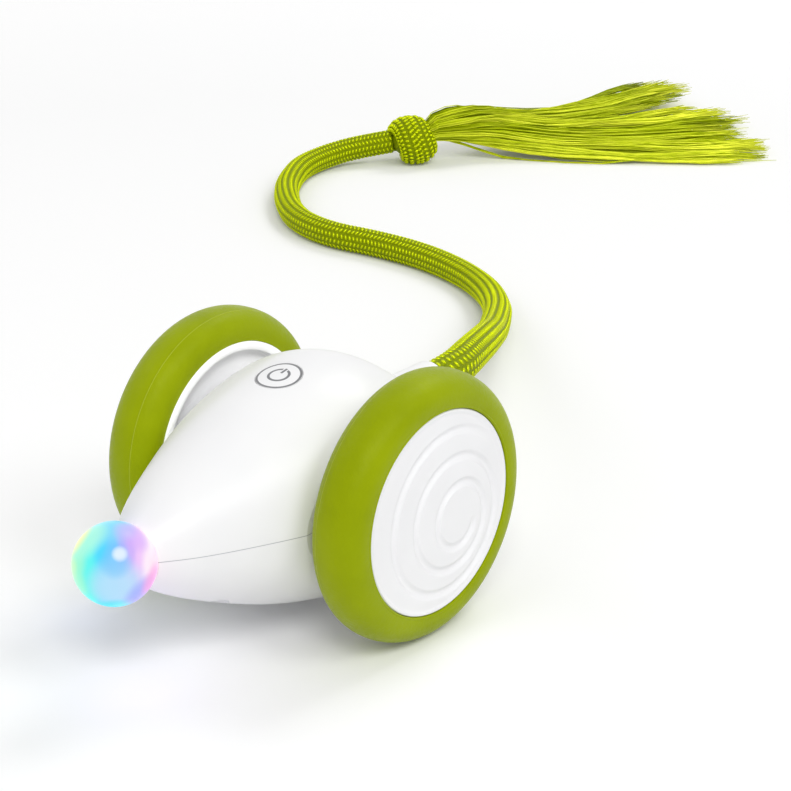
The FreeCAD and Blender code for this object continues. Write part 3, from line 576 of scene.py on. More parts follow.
# Knot, in millimetres: the braid wound twice round itself in leaning turns
tailKnot = {
    "heading": 36.0,  # degrees from +X, the way the cord enters
    "start": (-195.7, 277.25, 8.2),
    "bite": 1.0,  # how far back over the cord's end it starts
    "length": 16.0,
    "turns": 2.15,
    "stops": 40,  # places along the band at which its route is worked out
    "firstAngle": 245,
    "radius": 8.35,
    "roundness": 9.6,  # half the length of the oval that the turns lie on
    "firstTurn": 3.7,  # from where along the knot the band is wound, and to where
    "lastTurn": 12.6,
    "windLean": 2.3,  # how far the turns lean along the knot, and on which side
    "windAngle": -30,
    "tuck": 0.08,  # share of the band at each end that dives under the turns
    "tuckDepth": 2.0,
    "squeeze": 0.94,  # by which the turns are pushed together
    "core": (7.4, 5.6, 5.6),  # half sizes: along, across and up
    # the band, given as the cord's own braid is
    "wide": 4.4,
    "tall": 2.6,
    "sleeveSeat": 1.0,
    "stitchSeat": 0.97,
    "ringGap": 0.7,
    "ribDepth": 0.12,
    "stitchGap": 1.2,
    "stitch": (0.98, 0.52, 0.5),
    "lean": 14,
    "rootStretch": 0.0,
    "rootSwell": 0.0,
}
knotAhead = headed(tailKnot["heading"])
knotSide = Vector((knotAhead.y, -knotAhead.x, 0))
knotUp = Vector((0, 0, 1))
knotStart = (Vector(tailKnot["start"]) - knotAhead * tailKnot["bite"]) * mm
knotMiddle = knotStart + knotAhead * (tailKnot["length"] / 2 * mm)


def knotLine():
    points = []
    for number in range(tailKnot["stops"] + 1):
        share = number / tailKnot["stops"]
        angle = math.radians(tailKnot["firstAngle"] - 360 * tailKnot["turns"] * share)
        along = tailKnot["firstTurn"] + (tailKnot["lastTurn"] - tailKnot["firstTurn"]) * share
        along += tailKnot["windLean"] * math.cos(angle - math.radians(tailKnot["windAngle"]))
        offset = along - tailKnot["length"] / 2
        roomy = max(0.2, 1 - (offset / tailKnot["roundness"]) ** 2)
        tuck = max(0.0, 1 - min(share, 1 - share) / tailKnot["tuck"])
        radius = tailKnot["radius"] * math.sqrt(roomy) - tailKnot["tall"]
        radius -= tailKnot["tuckDepth"] * tuck
        points.append(knotMiddle + knotAhead * (offset * tailKnot["squeeze"] * mm)
                      + knotSide * (radius * math.cos(angle) * mm)
                      + knotUp * (radius * math.sin(angle) * mm))
    return smoothLine("knotRoute", points, order=4, fine=10)


def knotFrames(points):
    # The band lies flat on the knot, so its short way points out from the rounded shape
    frames = []
    bulge = 1 - (tailKnot["radius"] / tailKnot["roundness"]) ** 2
    for number, point in enumerate(points):
        ahead = aheadAt(points, number)
        away = point - knotMiddle
        out = away - knotAhead * (away.dot(knotAhead) * bulge)
        out = (out - ahead * out.dot(ahead)).normalized()
        frames.append((point, ahead, ahead.cross(out), out))
    return frames


woundLine = knotLine()
knotSleeve = braidSleeve("tailKnotBand", woundLine, tailKnot, knotFrames)
knotStitches = braidStitches("tailKnotStitches", woundLine, tailKnot, knotFrames)
dropSelection()
bpy.ops.mesh.primitive_uv_sphere_add(segments=24, ring_count=16, radius=1)
knotCore = bpy.context.active_object
knotCore.name = "tailKnotCore"
drawnOut = [way * size * mm for way, size in zip((knotAhead, knotSide, knotUp),
                                                 tailKnot["core"])]
knotCore.data.transform(Matrix.Translation(knotMiddle)
                        @ Matrix(drawnOut).transposed().to_4x4())
knotCore.data.materials.append(sleeveFinish)
knotSleeve.data.materials.append(sleeveFinish)
knotStitches.data.materials.append(stitchFinish)
for piece in (knotSleeve, knotStitches, knotCore):
    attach(piece, "chassis")
tidyNormals(knotCore)
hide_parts("tail_knot")
print("knot wound")

# Tassel: the cord's own yarn let loose past the knot, in locks that lie on the floor
tailTassel = {
    "heading": 63.0,
    # along, near edge across and up, far edge across and up, all in millimetres
    "rows": [(-4, -1.2, 7.4, 2.4, 12.0), (0, 0.2, 8.0, 3.0, 16.6), (5, 0.2, 7.6, 2.4, 18.6),
             (10, -0.6, 6.7, 3.2, 18.8), (15, -2.0, 5.6, 4.9, 18.0), (20, -4.2, 4.7, 8.0, 16.5),
             (28, -9.8, 3.5, 11.4, 13.8), (36, -14.8, 2.5, 13.2, 11.6),
             (46, -22.2, 1.9, 16.2, 10.2), (56, -27.8, 1.7, 20.0, 9.4),
             (66, -32.6, 1.6, 23.8, 9.0), (76, -36.9, 1.5, 28.1, 8.6),
             (86, -41.1, 1.5, 33.0, 8.3), (96, -44.3, 1.5, 38.0, 8.0),
             (106, -46.7, 1.5, 42.5, 7.8), (122, -50.3, 1.5, 46.0, 7.4)],
    # locks: share of the way from the near edge to the far one, reach, lift, threads
    "locks": [(0.99, 104, 0.0, 44), (0.955, 109, -0.8, 42), (0.92, 112, 0.6, 42),
              (0.885, 118, -0.5, 40), (0.85, 116, 0.6, 40), (0.815, 112, -0.6, 38),
              (0.785, 106, 0.4, 34), (0.755, 101, -0.4, 30),
              (0.715, 90, 0.4, 26), (0.64, 103, 0.2, 34), (0.61, 107, -0.8, 40),
              (0.575, 105, 0.8, 40), (0.55, 118, -0.2, 36), (0.51, 113, 0.8, 42),
              (0.475, 121, -0.6, 38), (0.44, 116, 0.5, 40), (0.40, 112, -0.7, 42),
              (0.36, 107, 0.9, 42), (0.32, 110, -0.5, 42), (0.28, 109, 0.7, 42),
              (0.24, 111, -0.6, 42), (0.20, 114, 0.5, 42), (0.16, 112, -0.5, 42),
              (0.12, 110, 0.8, 42), (0.08, 108, -0.5, 42), (0.045, 104, 0.6, 40),
              (0.015, 97, -0.2, 36)],
    "stray": (0.0, 98, -0.6, 9),  # a few threads that sag away under the near edge
    "depth": [(-4, 3.0), (5, 4.2), (15, 4.6), (28, 4.2), (46, 3.2), (76, 2.4), (122, 2.0)],
    "stops": (-4, 1, 6, 11, 17, 24, 32, 42, 53, 64, 74, 84, 93, 101, 109),
    "rootInset": 0.5,  # how far inside the knot's end the threads are measured from
    "thread": 0.165 * mm,
    "whole": 120,  # the way to the tips, which the shares below are shares of
    "uneven": (-0.06, 0.025),  # how much shorter or longer than its lock a thread may be
    "straying": (0.42, 0.45, 0.8),  # from the lock's line: at once, growing, near the tips
    "veer": (2.4, 0.7),  # how far the tips turn aside, and from which share on
    "droop": (8, 0.78),  # how much they sink, and from which share on
    "sway": (0.75, 0.35, 8.5),  # a lock's slow waves: across, up, and how slow
    "crinkle": (0.36, 0.3),  # a thread's own quick waves, across and up
    "crinkled": (0.6, 1.5),  # from the straightest thread to the most crinkled one
    "sag": (3.6, 2, 64),  # how deep the stray threads hang, and between which places
    "seed": 21,
}
tasselAhead = headed(tailTassel["heading"])
tasselLeft = Vector((-tasselAhead.y, tasselAhead.x, 0))
tasselRoot = knotStart + knotAhead * ((tailKnot["length"] - tailTassel["rootInset"]) * mm)
tasselRoot.z = 0


def between(rows, along):
    # A row's values at a place between the rows that are given
    for before, after in zip(rows, rows[1:]):
        if along <= after[0]:
            part = max(0.0, (along - before[0]) / (after[0] - before[0]))
            return [a + (b - a) * part for a, b in zip(before[1:], after[1:])]
    return list(rows[-1][1:])


def threadPoints(lock, loose, chance):
    # One thread: it keeps to its lock near the knot, then strays and crinkles towards its tip
    place, reach, lift, _ = lock
    nowDeep, growing, nearTip = tailTassel["straying"]
    swayAcross, swayUp, slowness = tailTassel["sway"]
    crinkleAcross, crinkleUp = tailTassel["crinkle"]
    veering, veerFrom = tailTassel["veer"]
    droop, droopFrom = tailTassel["droop"]
    sag, sagFrom, sagTo = tailTassel["sag"]
    acrossOwn = chance.gauss(0, 1)
    depthOwn = chance.gauss(0, 1)
    tip = reach * (1 + chance.uniform(*tailTassel["uneven"]))
    phase = chance.uniform(0, 6.28)
    kink = chance.uniform(*tailTassel["crinkled"])
    veer = chance.gauss(0, 1)
    points = []
    for stop in (*tailTassel["stops"], tip):
        if stop >= tip - 4 and stop != tip:
            continue
        nearAcross, nearUp, farAcross, farUp = between(tailTassel["rows"], stop)
        deep = between(tailTassel["depth"], stop)[0]
        share = max(0.0, stop / tailTassel["whole"])
        line = Vector((farAcross - nearAcross, farUp - nearUp))
        width = line.length
        line.normalize()
        square = Vector((-line.y, line.x))  # towards the top of the tassel
        room = 0.5 - 0.09 * (1 - share)
        spread = (place - 0.5) * 2 * room * width
        spread += acrossOwn * (nowDeep + growing * share + nearTip * share ** 4)
        spread += veer * veering * max(0.0, share - veerFrom)
        spread += swayAcross * math.sin(stop / slowness + place * 61) * min(1.0, share * 2.5)
        spread += kink * crinkleAcross * share ** 1.5 * math.sin(stop * 0.52 + phase)
        hull = math.sqrt(max(0.1, 1 - (2 * place - 1) ** 2 * 0.8))
        rise = (lift * 0.8 + depthOwn * 0.26) * deep * hull
        rise += swayUp * math.cos(stop / slowness + place * 47) * min(1.0, share * 2.5)
        rise += kink * crinkleUp * share ** 1.5 * math.cos(stop * 0.47 + phase)
        across = (nearAcross + farAcross) / 2 + line.x * spread + square.x * rise
        up = (nearUp + farUp) / 2 + line.y * spread + square.y * rise
        hanging = min(1.0, max(0.0, (stop - sagFrom) / (sagTo - sagFrom)))
        up -= loose * sag * math.sin(math.pi * hanging)
        up -= max(0.0, share - droopFrom) * droop * (0.5 + 0.5 * math.sin(phase))
        spot = tasselRoot + tasselAhead * (stop * mm) + tasselLeft * (across * mm)
        spot.z = max(0.25, up) * mm
        points.append(spot)
    return points


def combTassel():
    chance = random.Random(tailTassel["seed"])
    curve = bpy.data.curves.new("tailTassel", "CURVE")
    curve.dimensions = "3D"
    curve.bevel_depth = tailTassel["thread"]
    curve.bevel_resolution = 0
    curve.use_fill_caps = True
    tones = []
    sizes = []
    locks = [(lock, 0.0) for lock in tailTassel["locks"]] + [(tailTassel["stray"], 1.0)]
    for lock, loose in locks:
        lockTone = chance.uniform(0.15, 0.8) - 0.22 * max(0.0, lock[0] - 0.5)
        for _ in range(lock[3]):
            points = threadPoints(lock, loose, chance)
            spline = curve.splines.new("POLY")
            spline.points.add(len(points) - 1)
            for number, (spot, place) in enumerate(zip(spline.points, points)):
                spot.co = (*place, 1.0)
                spot.radius = 1.0 if number < len(points) - 1 else 0.4
            tones.append(lockTone + chance.uniform(-0.22, 0.22))
            sizes.append(4 * len(points))
    takeUp(newPiece("tailTassel", curve))
    bpy.ops.object.convert(target="MESH")
    piece = bpy.context.active_object
    piece.name = "tailTassel"
    mesh = piece.data
    toneAndGlint = mesh.attributes.new("threadToneAndGlint", "FLOAT", "POINT")
    # the mesh holds the threads' end caps first, from the last thread back, then the threads
    capSize = (len(mesh.vertices) - sum(sizes)) // len(sizes)
    start = capSize * len(sizes)
    for order, (tone, size) in enumerate(zip(tones, sizes)):
        capStart = capSize * (len(sizes) - 1 - order)
        for number in range(capSize):
            toneAndGlint.data[capStart + number].value = min(1.0, max(0.0, tone + 0.1))
        for number in range(size):
            share = number / size  # from the knot to the tip, which is paler, with painted glints (painted highlights) along the thread
            paintedGlint = 0.2 * math.sin(17 * share + 9 * tone) * share
            toneAndGlint.data[start + number].value = min(1.0, max(0.0, tone + 0.2 * share + paintedGlint))
        start += size
    editWhole()
    bpy.ops.mesh.remove_doubles(threshold=0.0000005)
    bpy.ops.object.mode_set(mode="OBJECT")
    mesh.shade_smooth()
    print("tassel threads", len(tones), "faces", len(mesh.polygons))
    return piece


def threadFinish(name):
    finish, tree, shader = newFinish(name)
    # this thread tone attribute carries the painted glints (painted highlights) too
    tone = addNode(tree, "Attribute", attribute_name="threadToneAndGlint").outputs["Fac"]
    places = objectPlaces(tree, turn=(0, 0, -math.radians(tailTassel["heading"])))
    streak = speckle(tree, mapped(tree, places, (0.12, 1, 1)), 700, 3.0, 0.6)
    mixed = sumUp(tree, "ADD", times(tree, tone, 0.6), times(tree, streak, 0.5))
    tree.links.new(ramp(tree, mixed, braidYarn["threads"]), shader.inputs["Base Color"])
    satinYarn(shader, gloss=0.27, satin=0.4)
    roughen(tree, shader, streak, 0.3, 0.1 * mm)
    return finish


tasselPiece = combTassel()
tasselPiece.data.materials.append(threadFinish("tasselThread"))
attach(tasselPiece, "chassis")
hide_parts("tail_tassel")
print("tassel combed")


# Turned pieces: an outline drawn point by point by extruding, then spun round the axle
def spunPiece(name, outline, steps):
    dropSelection()
    corners = [axle + Vector((along, 0, away)) * mm for along, away in outline]
    bpy.ops.mesh.primitive_plane_add(size=0.002, location=corners[0])
    piece = bpy.context.active_object
    piece.name = name
    bpy.ops.object.transform_apply(location=True, rotation=False, scale=False)
    editWhole()
    bpy.ops.mesh.merge(type="CENTER")
    for before, here in zip(corners, corners[1:]):
        bpy.ops.mesh.extrude_region_move(TRANSFORM_OT_translate={"value": here - before})
    bpy.ops.mesh.select_all(action="SELECT")
    bpy.ops.mesh.spin(steps=steps, angle=2 * math.pi, center=axle, axis=(1, 0, 0))
    bpy.ops.mesh.select_all(action="SELECT")
    bpy.ops.mesh.remove_doubles(threshold=0.000003)
    bpy.ops.mesh.normals_make_consistent(inside=False)
    bpy.ops.object.mode_set(mode="OBJECT")
    bpy.ops.object.shade_smooth_by_angle(angle=math.radians(32))
    return piece


# Wheels, in millimetres
wheel = {
    "middle": 29.25,  # wheel's middle plane from the toy's middle
    "tyreRadius": 30.0,
    "tyreInner": 5.9,  # the tyre bulges less towards the body than away from it
    "tyreOuter": 6.9,
    "tyreHeight": 11.4,
    "squareness": 2.2,
    "tyreSeat": 0.1,  # the tyre's inner edges stand this far off the ring and the cap
    # a narrow rounded lip where the silicone ends against the cap: where the tyre's side is
    # read, how far out from it and how far up from the edge the lip's points lie
    "lip": [(0.75, 0.0, 0.75), (0.55, -0.02, 0.55), (0.35, 0.10, 0.42), (0.0, 0.16, 0.24),
            (0.0, 0.04, 0.06), (0.0, -0.25, 0.0)],
    "capFace": 6.70,  # out from the wheel's middle plane
    "capBack": 5.20,
    "capRadius": 22.8,
    "snap": (20.2, 21.2, 2.0),  # ring behind the cap: inner and outer radius, depth
    "ringFace": -6.30,
    "ringRadius": 23.3,
    "boreRadius": 22.65,
    "liningRadius": 21.3,
    "drumGap": 0.05,  # round the drum and behind the cap
    "dishDepth": 2.5,
    "hubRadius": 5.0,
    "hubInner": -7.15,
    "hubOuter": 3.7,
    "shaftRadius": 2.0,
}


def tyreOutline():
    high = wheel["tyreHeight"] / 2
    centre = wheel["tyreRadius"] - high
    square = wheel["squareness"]
    start = wheel["ringRadius"] + wheel["tyreSeat"]
    edge = wheel["capRadius"] + wheel["tyreSeat"]

    def sideAt(radius, half):
        share = min(1.0, abs(radius - centre) / high)
        return half * (1 - share ** square) ** (1 / square)

    outline = [(-sideAt(start, wheel["tyreInner"]), start)]
    for degrees in range(0, 181, 2):
        angle = math.radians(degrees)
        side = -wheel["tyreInner"] if degrees < 90 else wheel["tyreOuter"]
        outline.append((side * abs(math.cos(angle)) ** (2 / square),
                        centre + high * math.sin(angle) ** (2 / square)))
    outline += [(sideAt(edge + read, wheel["tyreOuter"]) + out, edge + up)
                for read, out, up in wheel["lip"]]
    outline += [(wheel["capBack"], edge), (wheel["capBack"], wheel["boreRadius"]),
                (wheel["ringFace"] + 1.0, wheel["boreRadius"]),
                (wheel["ringFace"] + 1.0, start)]
    return outline + outline[:1]


def onSide(outline, side):
    return [(side * (wheel["middle"] + along), away) for along, away in outline]


# Spiral groove in the caps, in millimetres, about a centre that drifts as it grows
capSpiral = {
    "startRadius": 4.2,
    "pitch": 5.5,
    "turns": 2.9,
    "centre": (8.8, -5.4),
    "drift": (-0.333, 0.17),
    "halfWidth": 1.05,
    "depth": 0.66,
    "bowl": 0.9,  # 1 is a round-bottomed groove, and less is squarer
    "fadeIn": 0.035,  # shares of the spiral over which it starts and ends
    "fadeOut": 0.05,
    "lip": 0.26,  # how far the cap's edge stands up round its face
    "lipWidth": 0.9,
    "lipInset": 0.4,
    "points": 900,  # along the spiral, to measure from
    "rings": 84,  # across the cap's face, fine enough for the groove
}


def spiralTree():
    count = capSpiral["points"]
    tree = kdtree.KDTree(count + 1)
    for number in range(count + 1):
        turned = 2 * math.pi * capSpiral["turns"] * number / count
        radius = capSpiral["startRadius"] + capSpiral["pitch"] * turned / (2 * math.pi)
        y = capSpiral["centre"][0] + capSpiral["drift"][0] * radius + radius * math.cos(turned)
        z = capSpiral["centre"][1] + capSpiral["drift"][1] * radius - radius * math.sin(turned)
        tree.insert((0, y, z), number)
    tree.balance()
    return tree, count


def capOutline():
    face = wheel["capFace"]
    edge = wheel["capRadius"]
    back = wheel["capBack"]
    inner, outer, deep = wheel["snap"]
    outline = [(back, 0.0), (back, inner), (back - deep, inner), (back - deep, outer),
               (back, outer), (back, edge), (face - 0.5, edge), (face - 0.22, edge - 0.06),
               (face - 0.06, edge - 0.22), (face, edge - 0.5)]
    rings = capSpiral["rings"]
    return outline + [(face, (edge - 0.5) * (1 - ring / rings)) for ring in range(1, rings + 1)]


def sinkSpiral(piece, side):
    tree, count = spiralTree()
    face = side * (wheel["middle"] + wheel["capFace"])
    lipStart = wheel["capRadius"] - capSpiral["lipInset"] - capSpiral["lipWidth"]
    for vertex in piece.data.vertices:
        place = vertex.co / mm
        if abs(place.x - face) > 0.02:
            continue
        spot = Vector((0, place.y - axle.y / mm, place.z - axle.z / mm))
        _, number, away = tree.find(spot)
        share = number / count
        fade = min(1.0, share / capSpiral["fadeIn"])
        fade *= min(1.0, (1 - share) / capSpiral["fadeOut"])
        near = max(0.0, 1 - (away / capSpiral["halfWidth"]) ** 2)
        dip = capSpiral["depth"] * fade * near ** capSpiral["bowl"]
        edge = min(1.0, max(0.0, spot.length - lipStart) / capSpiral["lipWidth"])
        dip += capSpiral["lip"] * (1 - edge * edge * (3 - 2 * edge))
        vertex.co.x -= side * dip * mm
    piece.data.update()


def rimOutline():
    # The white rim: a shallow dish towards the body, with a rounded ring round it
    face = wheel["ringFace"]
    dish = face + wheel["dishDepth"]
    lining = wheel["liningRadius"]
    ring = wheel["ringRadius"]
    drum = wheel["boreRadius"] - wheel["drumGap"]
    back = wheel["capBack"] - wheel["drumGap"]
    hub = wheel["hubRadius"]
    shaft = wheel["shaftRadius"]
    return [(wheel["hubInner"], shaft), (wheel["hubInner"], hub), (dish - 0.5, hub + 0.15),
            (dish, hub + 0.8), (dish, lining - 0.6), (dish - 0.2, lining - 0.15),
            (dish - 0.7, lining), (face + 0.5, lining), (face + 0.15, lining + 0.15),
            (face, lining + 0.5), (face, ring - 0.3), (face + 0.1, ring - 0.1),
            (face + 0.3, ring), (face + 1.0, ring), (face + 1.0, drum),
            (back, drum), (back, lining), (dish + 2.0, lining), (dish + 2.0, hub),
            (wheel["hubOuter"], hub), (wheel["hubOuter"], shaft), (wheel["hubInner"], shaft)]


# each wheel's pieces: name, outline, steps round, finish, slot and the node it stands for
wheelPieces = [
    ("RimDish", rimOutline(), 128, capFinish, "wheel_white", "_wheel_rim"),
    ("TyreSkin", tyreOutline(), 160, tyreFinish, "tyre_silicone", "_tyre"),
    ("SpiralCap", capOutline(), 240, capFinish, "wheel_white", "_hub_cap"),
]
for side, word in ((1, "left"), (-1, "right")):
    for name, outline, steps, finish, slotName, node in wheelPieces:
        piece = spunPiece(word + name, onSide(outline, side), steps)
        if name == "SpiralCap":
            sinkSpiral(piece, side)
        piece.data.materials.append(finish)
        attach(piece, word + "_wheel")
        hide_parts(word + node)
print("wheels turned")

# Nose ball: frosted, lit from inside in soft bands of colour, with one small painted highlight
noseGlow = {
    "centre": Vector((0, -46.35, 29.9)) * mm,
    "radius": 8.7 * mm,
    # colours from the ball's left to its right, as the photograph shows it
    "bands": [(0.00, (196, 250, 196)), (0.08, (156, 250, 216)), (0.22, (100, 247, 242)),
              (0.36, (84, 218, 255)), (0.49, (120, 199, 255)), (0.58, (164, 184, 253)),
              (0.68, (205, 178, 250)), (0.78, (240, 200, 251)), (0.90, (255, 238, 252)),
              (1.00, (255, 214, 232))],
    "cloud": (1.8, 0.10),  # how uneven the bands are: scale and depth
    # the side that the bands face: degrees round from the front, and above level
    "turn": 46.8,
    "rise": 26.1,
    # patches over the bands: right, up, towards that side, colour, from, to, strength
    "patches": [
        (0.02, -0.55, 0.83, (188, 228, 252), 0.66, 0.99, 0.9),
        (-0.05, 0.90, 0.42, (140, 226, 250), 0.72, 0.97, 0.8),
        (0.46, 0.66, 0.58, (214, 176, 251), 0.84, 0.99, 0.6),
        (-0.62, 0.62, 0.45, (178, 252, 226), 0.78, 0.98, 0.85),
        (-0.78, 0.60, 0.12, (242, 255, 176), 0.88, 0.995, 0.9),
        (0.00, -0.98, 0.18, (54, 232, 242), 0.88, 0.995, 0.85),
        (0.60, -0.70, 0.38, (158, 172, 254), 0.84, 0.99, 0.75),
        (0.86, -0.42, 0.28, (252, 166, 230), 0.88, 0.995, 0.8),
        (0.02, 0.02, 1.00, (118, 200, 251), 0.90, 0.995, 0.6),
        # the last patch is a painted highlight: a small pale spot on the ball's upper middle
        (0.13, 0.22, 0.965, (230, 243, 255), 0.976, 0.9998, 0.9),
    ],
    "strength": 0.9,
    "unlit": (0.1, 0.1, 0.1, 1),  # share of the colours that lamps add to
}


def ballFinish(name):
    finish, tree, shader = newFinish(name)
    rise = math.radians(noseGlow["rise"])
    turn = math.radians(noseGlow["turn"])
    back = Vector((math.sin(turn) * math.cos(rise), -math.cos(turn) * math.cos(rise),
                   math.sin(rise)))
    right = Vector((math.cos(turn), math.sin(turn), 0))
    up = back.cross(right)
    scale = 1 / noseGlow["radius"]
    places = objectPlaces(tree, scale=(scale, scale, scale), shift=-noseGlow["centre"] * scale)
    ways = vectorSum(tree, "NORMALIZE", places)
    cloudScale, cloudDepth = noseGlow["cloud"]
    soft = times(tree, speckle(tree, ways, cloudScale, 1.0), cloudDepth)
    side = rescale(tree, dotWith(tree, ways, right), -1, 1, -0.05, 0.95)
    colour = ramp(tree, sumUp(tree, "ADD", side, soft), noseGlow["bands"], "EASE")
    for x, y, z, shown, low, high, strength in noseGlow["patches"]:
        middle = (right * x + up * y + back * z).normalized()
        share = rescale(tree, dotWith(tree, ways, middle), low, high, 0, strength,
                        "SMOOTHSTEP")
        colour = blendColours(tree, share, colour, paint(*shown))
    tree.links.new(blendColours(tree, 1.0, colour, noseGlow["unlit"], "MULTIPLY"),
                   shader.inputs["Base Color"])
    tree.links.new(colour, shader.inputs["Emission Color"])
    setInputs(shader, {"Emission Strength": noseGlow["strength"], "Roughness": 0.3,
                       "Specular IOR Level": 0.15})
    roughen(tree, shader, speckle(tree, objectPlaces(tree), 1800, 2.0), 0.05, 0.03 * mm)
    return finish


noseFinish = ballFinish("noseGlow")


# Power button: white like the shell, with a printed ring and a plain standby sign
powerButton = {
    "centre": Vector((0, 3.65, 55.4747)) * mm,
    "outward": Vector((0, -0.19491, 0.98082)),
    "ring": (4.55, 5.05),
    "ink": (118, 119, 122),
    "arc": (1.95, 2.55),
    "gap": (-0.62, 0.62),
    "barAcross": (-0.3, 0.3),
    "barAlong": (-2.75, -0.75),
    "inkEdge": 0.05,
    "gloss": (0.3, 0.4),
}


def buttonFinish(name):
    finish, tree, shader = newFinish(name)
    places = objectPlaces(tree)
    fromMiddle = vectorSum(tree, "SUBTRACT", places, powerButton["centre"])
    forward = Vector((1, 0, 0)).cross(powerButton["outward"])  # towards the nose
    x = dotWith(tree, fromMiddle, Vector((1, 0, 0)) / mm)
    y = dotWith(tree, fromMiddle, forward / mm)
    away = sumUp(tree, "SQRT", sumUp(tree, "ADD", times(tree, x, x), times(tree, y, y)))
    soft = powerButton["inkEdge"]

    def within(value, low, high):
        return times(tree, rescale(tree, value, low - soft, low + soft, 0, 1),
                     rescale(tree, value, high - soft, high + soft, 1, 0))

    ring = within(away, *powerButton["ring"])
    gap = times(tree, within(x, *powerButton["gap"]), rescale(tree, y, -soft, soft, 1, 0))
    arc = times(tree, within(away, *powerButton["arc"]), sumUp(tree, "SUBTRACT", 1.0, gap))
    bar = times(tree, within(x, *powerButton["barAcross"]), within(y, *powerButton["barAlong"]))
    ink = sumUp(tree, "MAXIMUM", ring, sumUp(tree, "MAXIMUM", arc, bar))
    white = mottled(tree, places, whitePlastic)
    colour = blendColours(tree, ink, white, paint(*powerButton["ink"]))
    grain = speckle(tree, places, whitePlastic["grain"], 3.0)
    coat(tree, shader, colour, grain, powerButton["gloss"])
    roughen(tree, shader, grain, 0.1, whitePlastic["bump"])
    return finish


inkedButton = buttonFinish("inkedButton")

# Finishes of the small and inner pieces: colour, second colour, gloss, metal, grain, bump
insideFinishes = {
    "black_plastic": ((34, 34, 36), (44, 44, 47), 0.45, 0, 1800, 0.2),
    "circuit_board": ((20, 96, 58), (26, 112, 68), 0.35, 0, 500, 0.15),
    "battery_wrap": ((38, 92, 168), (48, 104, 182), 0.3, 0, 300, 0.1),
    "foam": ((52, 52, 54), (70, 70, 72), 0.9, 0, 3200, 0.8),
    "led_white": ((250, 250, 244), (255, 252, 236), 0.3, 0, 900, 0.05),
    "lead_red": ((176, 28, 24), (190, 38, 30), 0.4, 0, 900, 0.1),
    "gear_case": ((214, 216, 218), (224, 226, 228), 0.45, 0, 1500, 0.2),
    "gear_white": ((236, 234, 226), (244, 242, 236), 0.4, 0, 1300, 0.15),
    "bush_plastic": ((206, 204, 196), (216, 214, 206), 0.42, 0, 1300, 0.15),
    "motor_can": ((168, 170, 172), (188, 190, 192), 0.28, 1, 900, 0.1),
    "shaft_steel": ((176, 178, 180), (196, 198, 200), 0.2, 1, 1200, 0.08),
    "screw_steel": ((150, 152, 156), (176, 178, 182), 0.32, 1, 1400, 0.15),
    "socket_steel": ((178, 180, 184), (200, 202, 206), 0.25, 1, 1500, 0.08),
    "ferrule_brass": ((190, 150, 70), (208, 170, 88), 0.3, 1, 1000, 0.1),
}


def insideFinish(name, recipe):
    low, high, gloss, metal, grainScale, strength = recipe
    finish, tree, shader = newFinish(name)
    places = objectPlaces(tree)
    colour = ramp(tree, speckle(tree, places, 220, 3.0), [(0.35, low), (0.65, high)])
    grain = speckle(tree, places, grainScale, 3.0)
    coat(tree, shader, colour, grain, (gloss - 0.05, gloss + 0.08))
    shader.inputs["Metallic"].default_value = metal
    roughen(tree, shader, grain, strength, 0.05 * mm)
    return finish


finishes = {"white_shell": shellFinish, "wheel_white": capFinish, "tyre_silicone": tyreFinish,
            "nose_diffuser": noseFinish, "button_grey": inkedButton,
            "tail_braid": sleeveFinish, "tail_thread": sleeveFinish}
for slotName, recipe in insideFinishes.items():
    finishes[slotName] = insideFinish(slotName + "Finish", recipe)
for node in frame["nodes"].values():
    for holder in node.material_slots:
        slotName = holder.material.name.split(".")[0]
        holder.material = finishes[slotName]
print("finishes put on")

# Floor, world and lamps of a plain white studio
studio = {
    "floor": (254, 254, 254),
    "bounce": (240, 240, 241),
    "worldFill": 0.47,
    "liftNear": 0.05,
    "liftFar": 0.60,  # the lamps don't reach far out, so the floor is lifted to white there
    "liftStart": 0.42,
    "liftEnd": 2.4,
    "reach": 6,
}
dropSelection()
bpy.ops.mesh.primitive_circle_add(vertices=96, radius=studio["reach"], fill_type="NGON")
floor = bpy.context.active_object
floor.name = "studioFloor"
floorFinish, tree, shader = newFinish("studioFloor")
looked = lookedAt(tree)
tree.links.new(blendColours(tree, looked, paint(*studio["bounce"]), paint(*studio["floor"])),
               shader.inputs["Base Color"])
setInputs(shader, {"Roughness": 0.9, "Specular IOR Level": 0.0,
                   "Emission Color": (1, 1, 1, 1)})
lift = rescale(tree, vectorSum(tree, "LENGTH", objectPlaces(tree)), studio["liftStart"],
               studio["liftEnd"], studio["liftNear"], studio["liftFar"])
tree.links.new(times(tree, looked, lift), shader.inputs["Emission Strength"])
floor.data.materials.append(floorFinish)

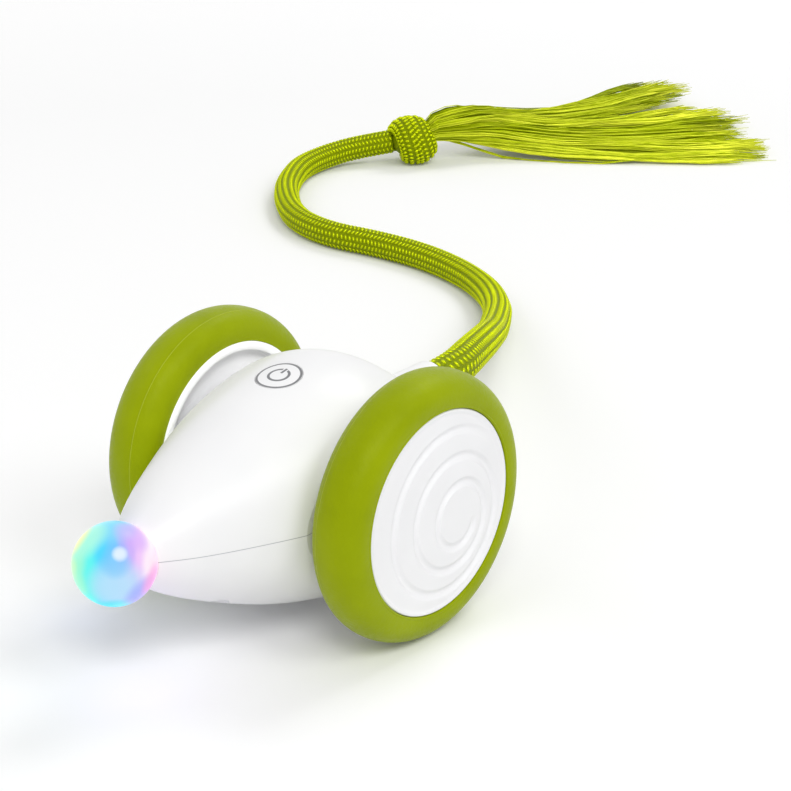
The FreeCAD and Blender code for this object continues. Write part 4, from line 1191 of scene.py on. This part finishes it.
world = bpy.data.worlds.new("studioWorld")
bpy.context.scene.world = world
world.use_nodes = True
tree = world.node_tree
background = tree.nodes["Background"]
background.inputs["Color"].default_value = (1, 1, 1, 1)
tree.links.new(rescale(tree, lookedAt(tree), 0, 1, studio["worldFill"], 1.0),
               background.inputs["Strength"])

softboxes = {
    # place, what it is turned to, size and power: one in front at the right, one at the
    # right, one behind and a small help from the left
    "keySoftbox": ((1.30, -1.25, 1.88), (0, 0.05, 0.02), 0.9, 19.0),
    "sideSoftbox": ((1.84, 0.05, 1.88), (0, 0.05, 0.02), 1.0, 14.0),
    "backSoftbox": ((0.0, 1.73, 2.04), (0, 0.05, 0.02), 1.0, 12.5),
    "leftSoftbox": ((-1.60, -0.87, 1.88), (0, 0.05, 0.02), 1.2, 4.8),
    # this one lights nothing but the wheels' inner dishes, which the body shades
    "dishSoftbox": ((1.30, -1.25, 1.88), (0, 0, 0), 0.9, 36.0),
}
# what the lit nose throws on the floor and under the chin: place, colour and power
noseLight = {
    "blueGlow": ((-30, -27, 14), (0.40, 0.52, 1.0), 0.0013),
    "violetGlow": ((3, -46, 13), (0.70, 0.40, 1.0), 0.0008),
}


def hangLamp(name, kind, place, power):
    bpy.ops.object.light_add(type=kind, location=place)
    lamp = bpy.context.active_object
    lamp.name = name
    lamp.data.energy = power
    lamp.visible_camera = False
    return lamp


for name, (place, target, size, power) in softboxes.items():
    lamp = hangLamp(name, "AREA", place, power)
    lamp.data.shape = "SQUARE"
    lamp.data.size = size
    lamp.rotation_euler = (Vector(target) - Vector(place)).to_track_quat("-Z", "Y").to_euler()
    if name == "dishSoftbox":
        dishes = bpy.data.collections.new(name)
        for word in ("left", "right"):
            dishes.objects.link(bpy.data.objects[word + "RimDish"])
        lamp.light_linking.receiver_collection = dishes
for name, (place, colour, power) in noseLight.items():
    lamp = hangLamp(name, "POINT", Vector(place) * mm, power)
    lamp.data.color = colour
    lamp.data.shadow_soft_size = 4 * mm
bpy.context.scene.view_settings.view_transform = "Standard"
print("studio lit")
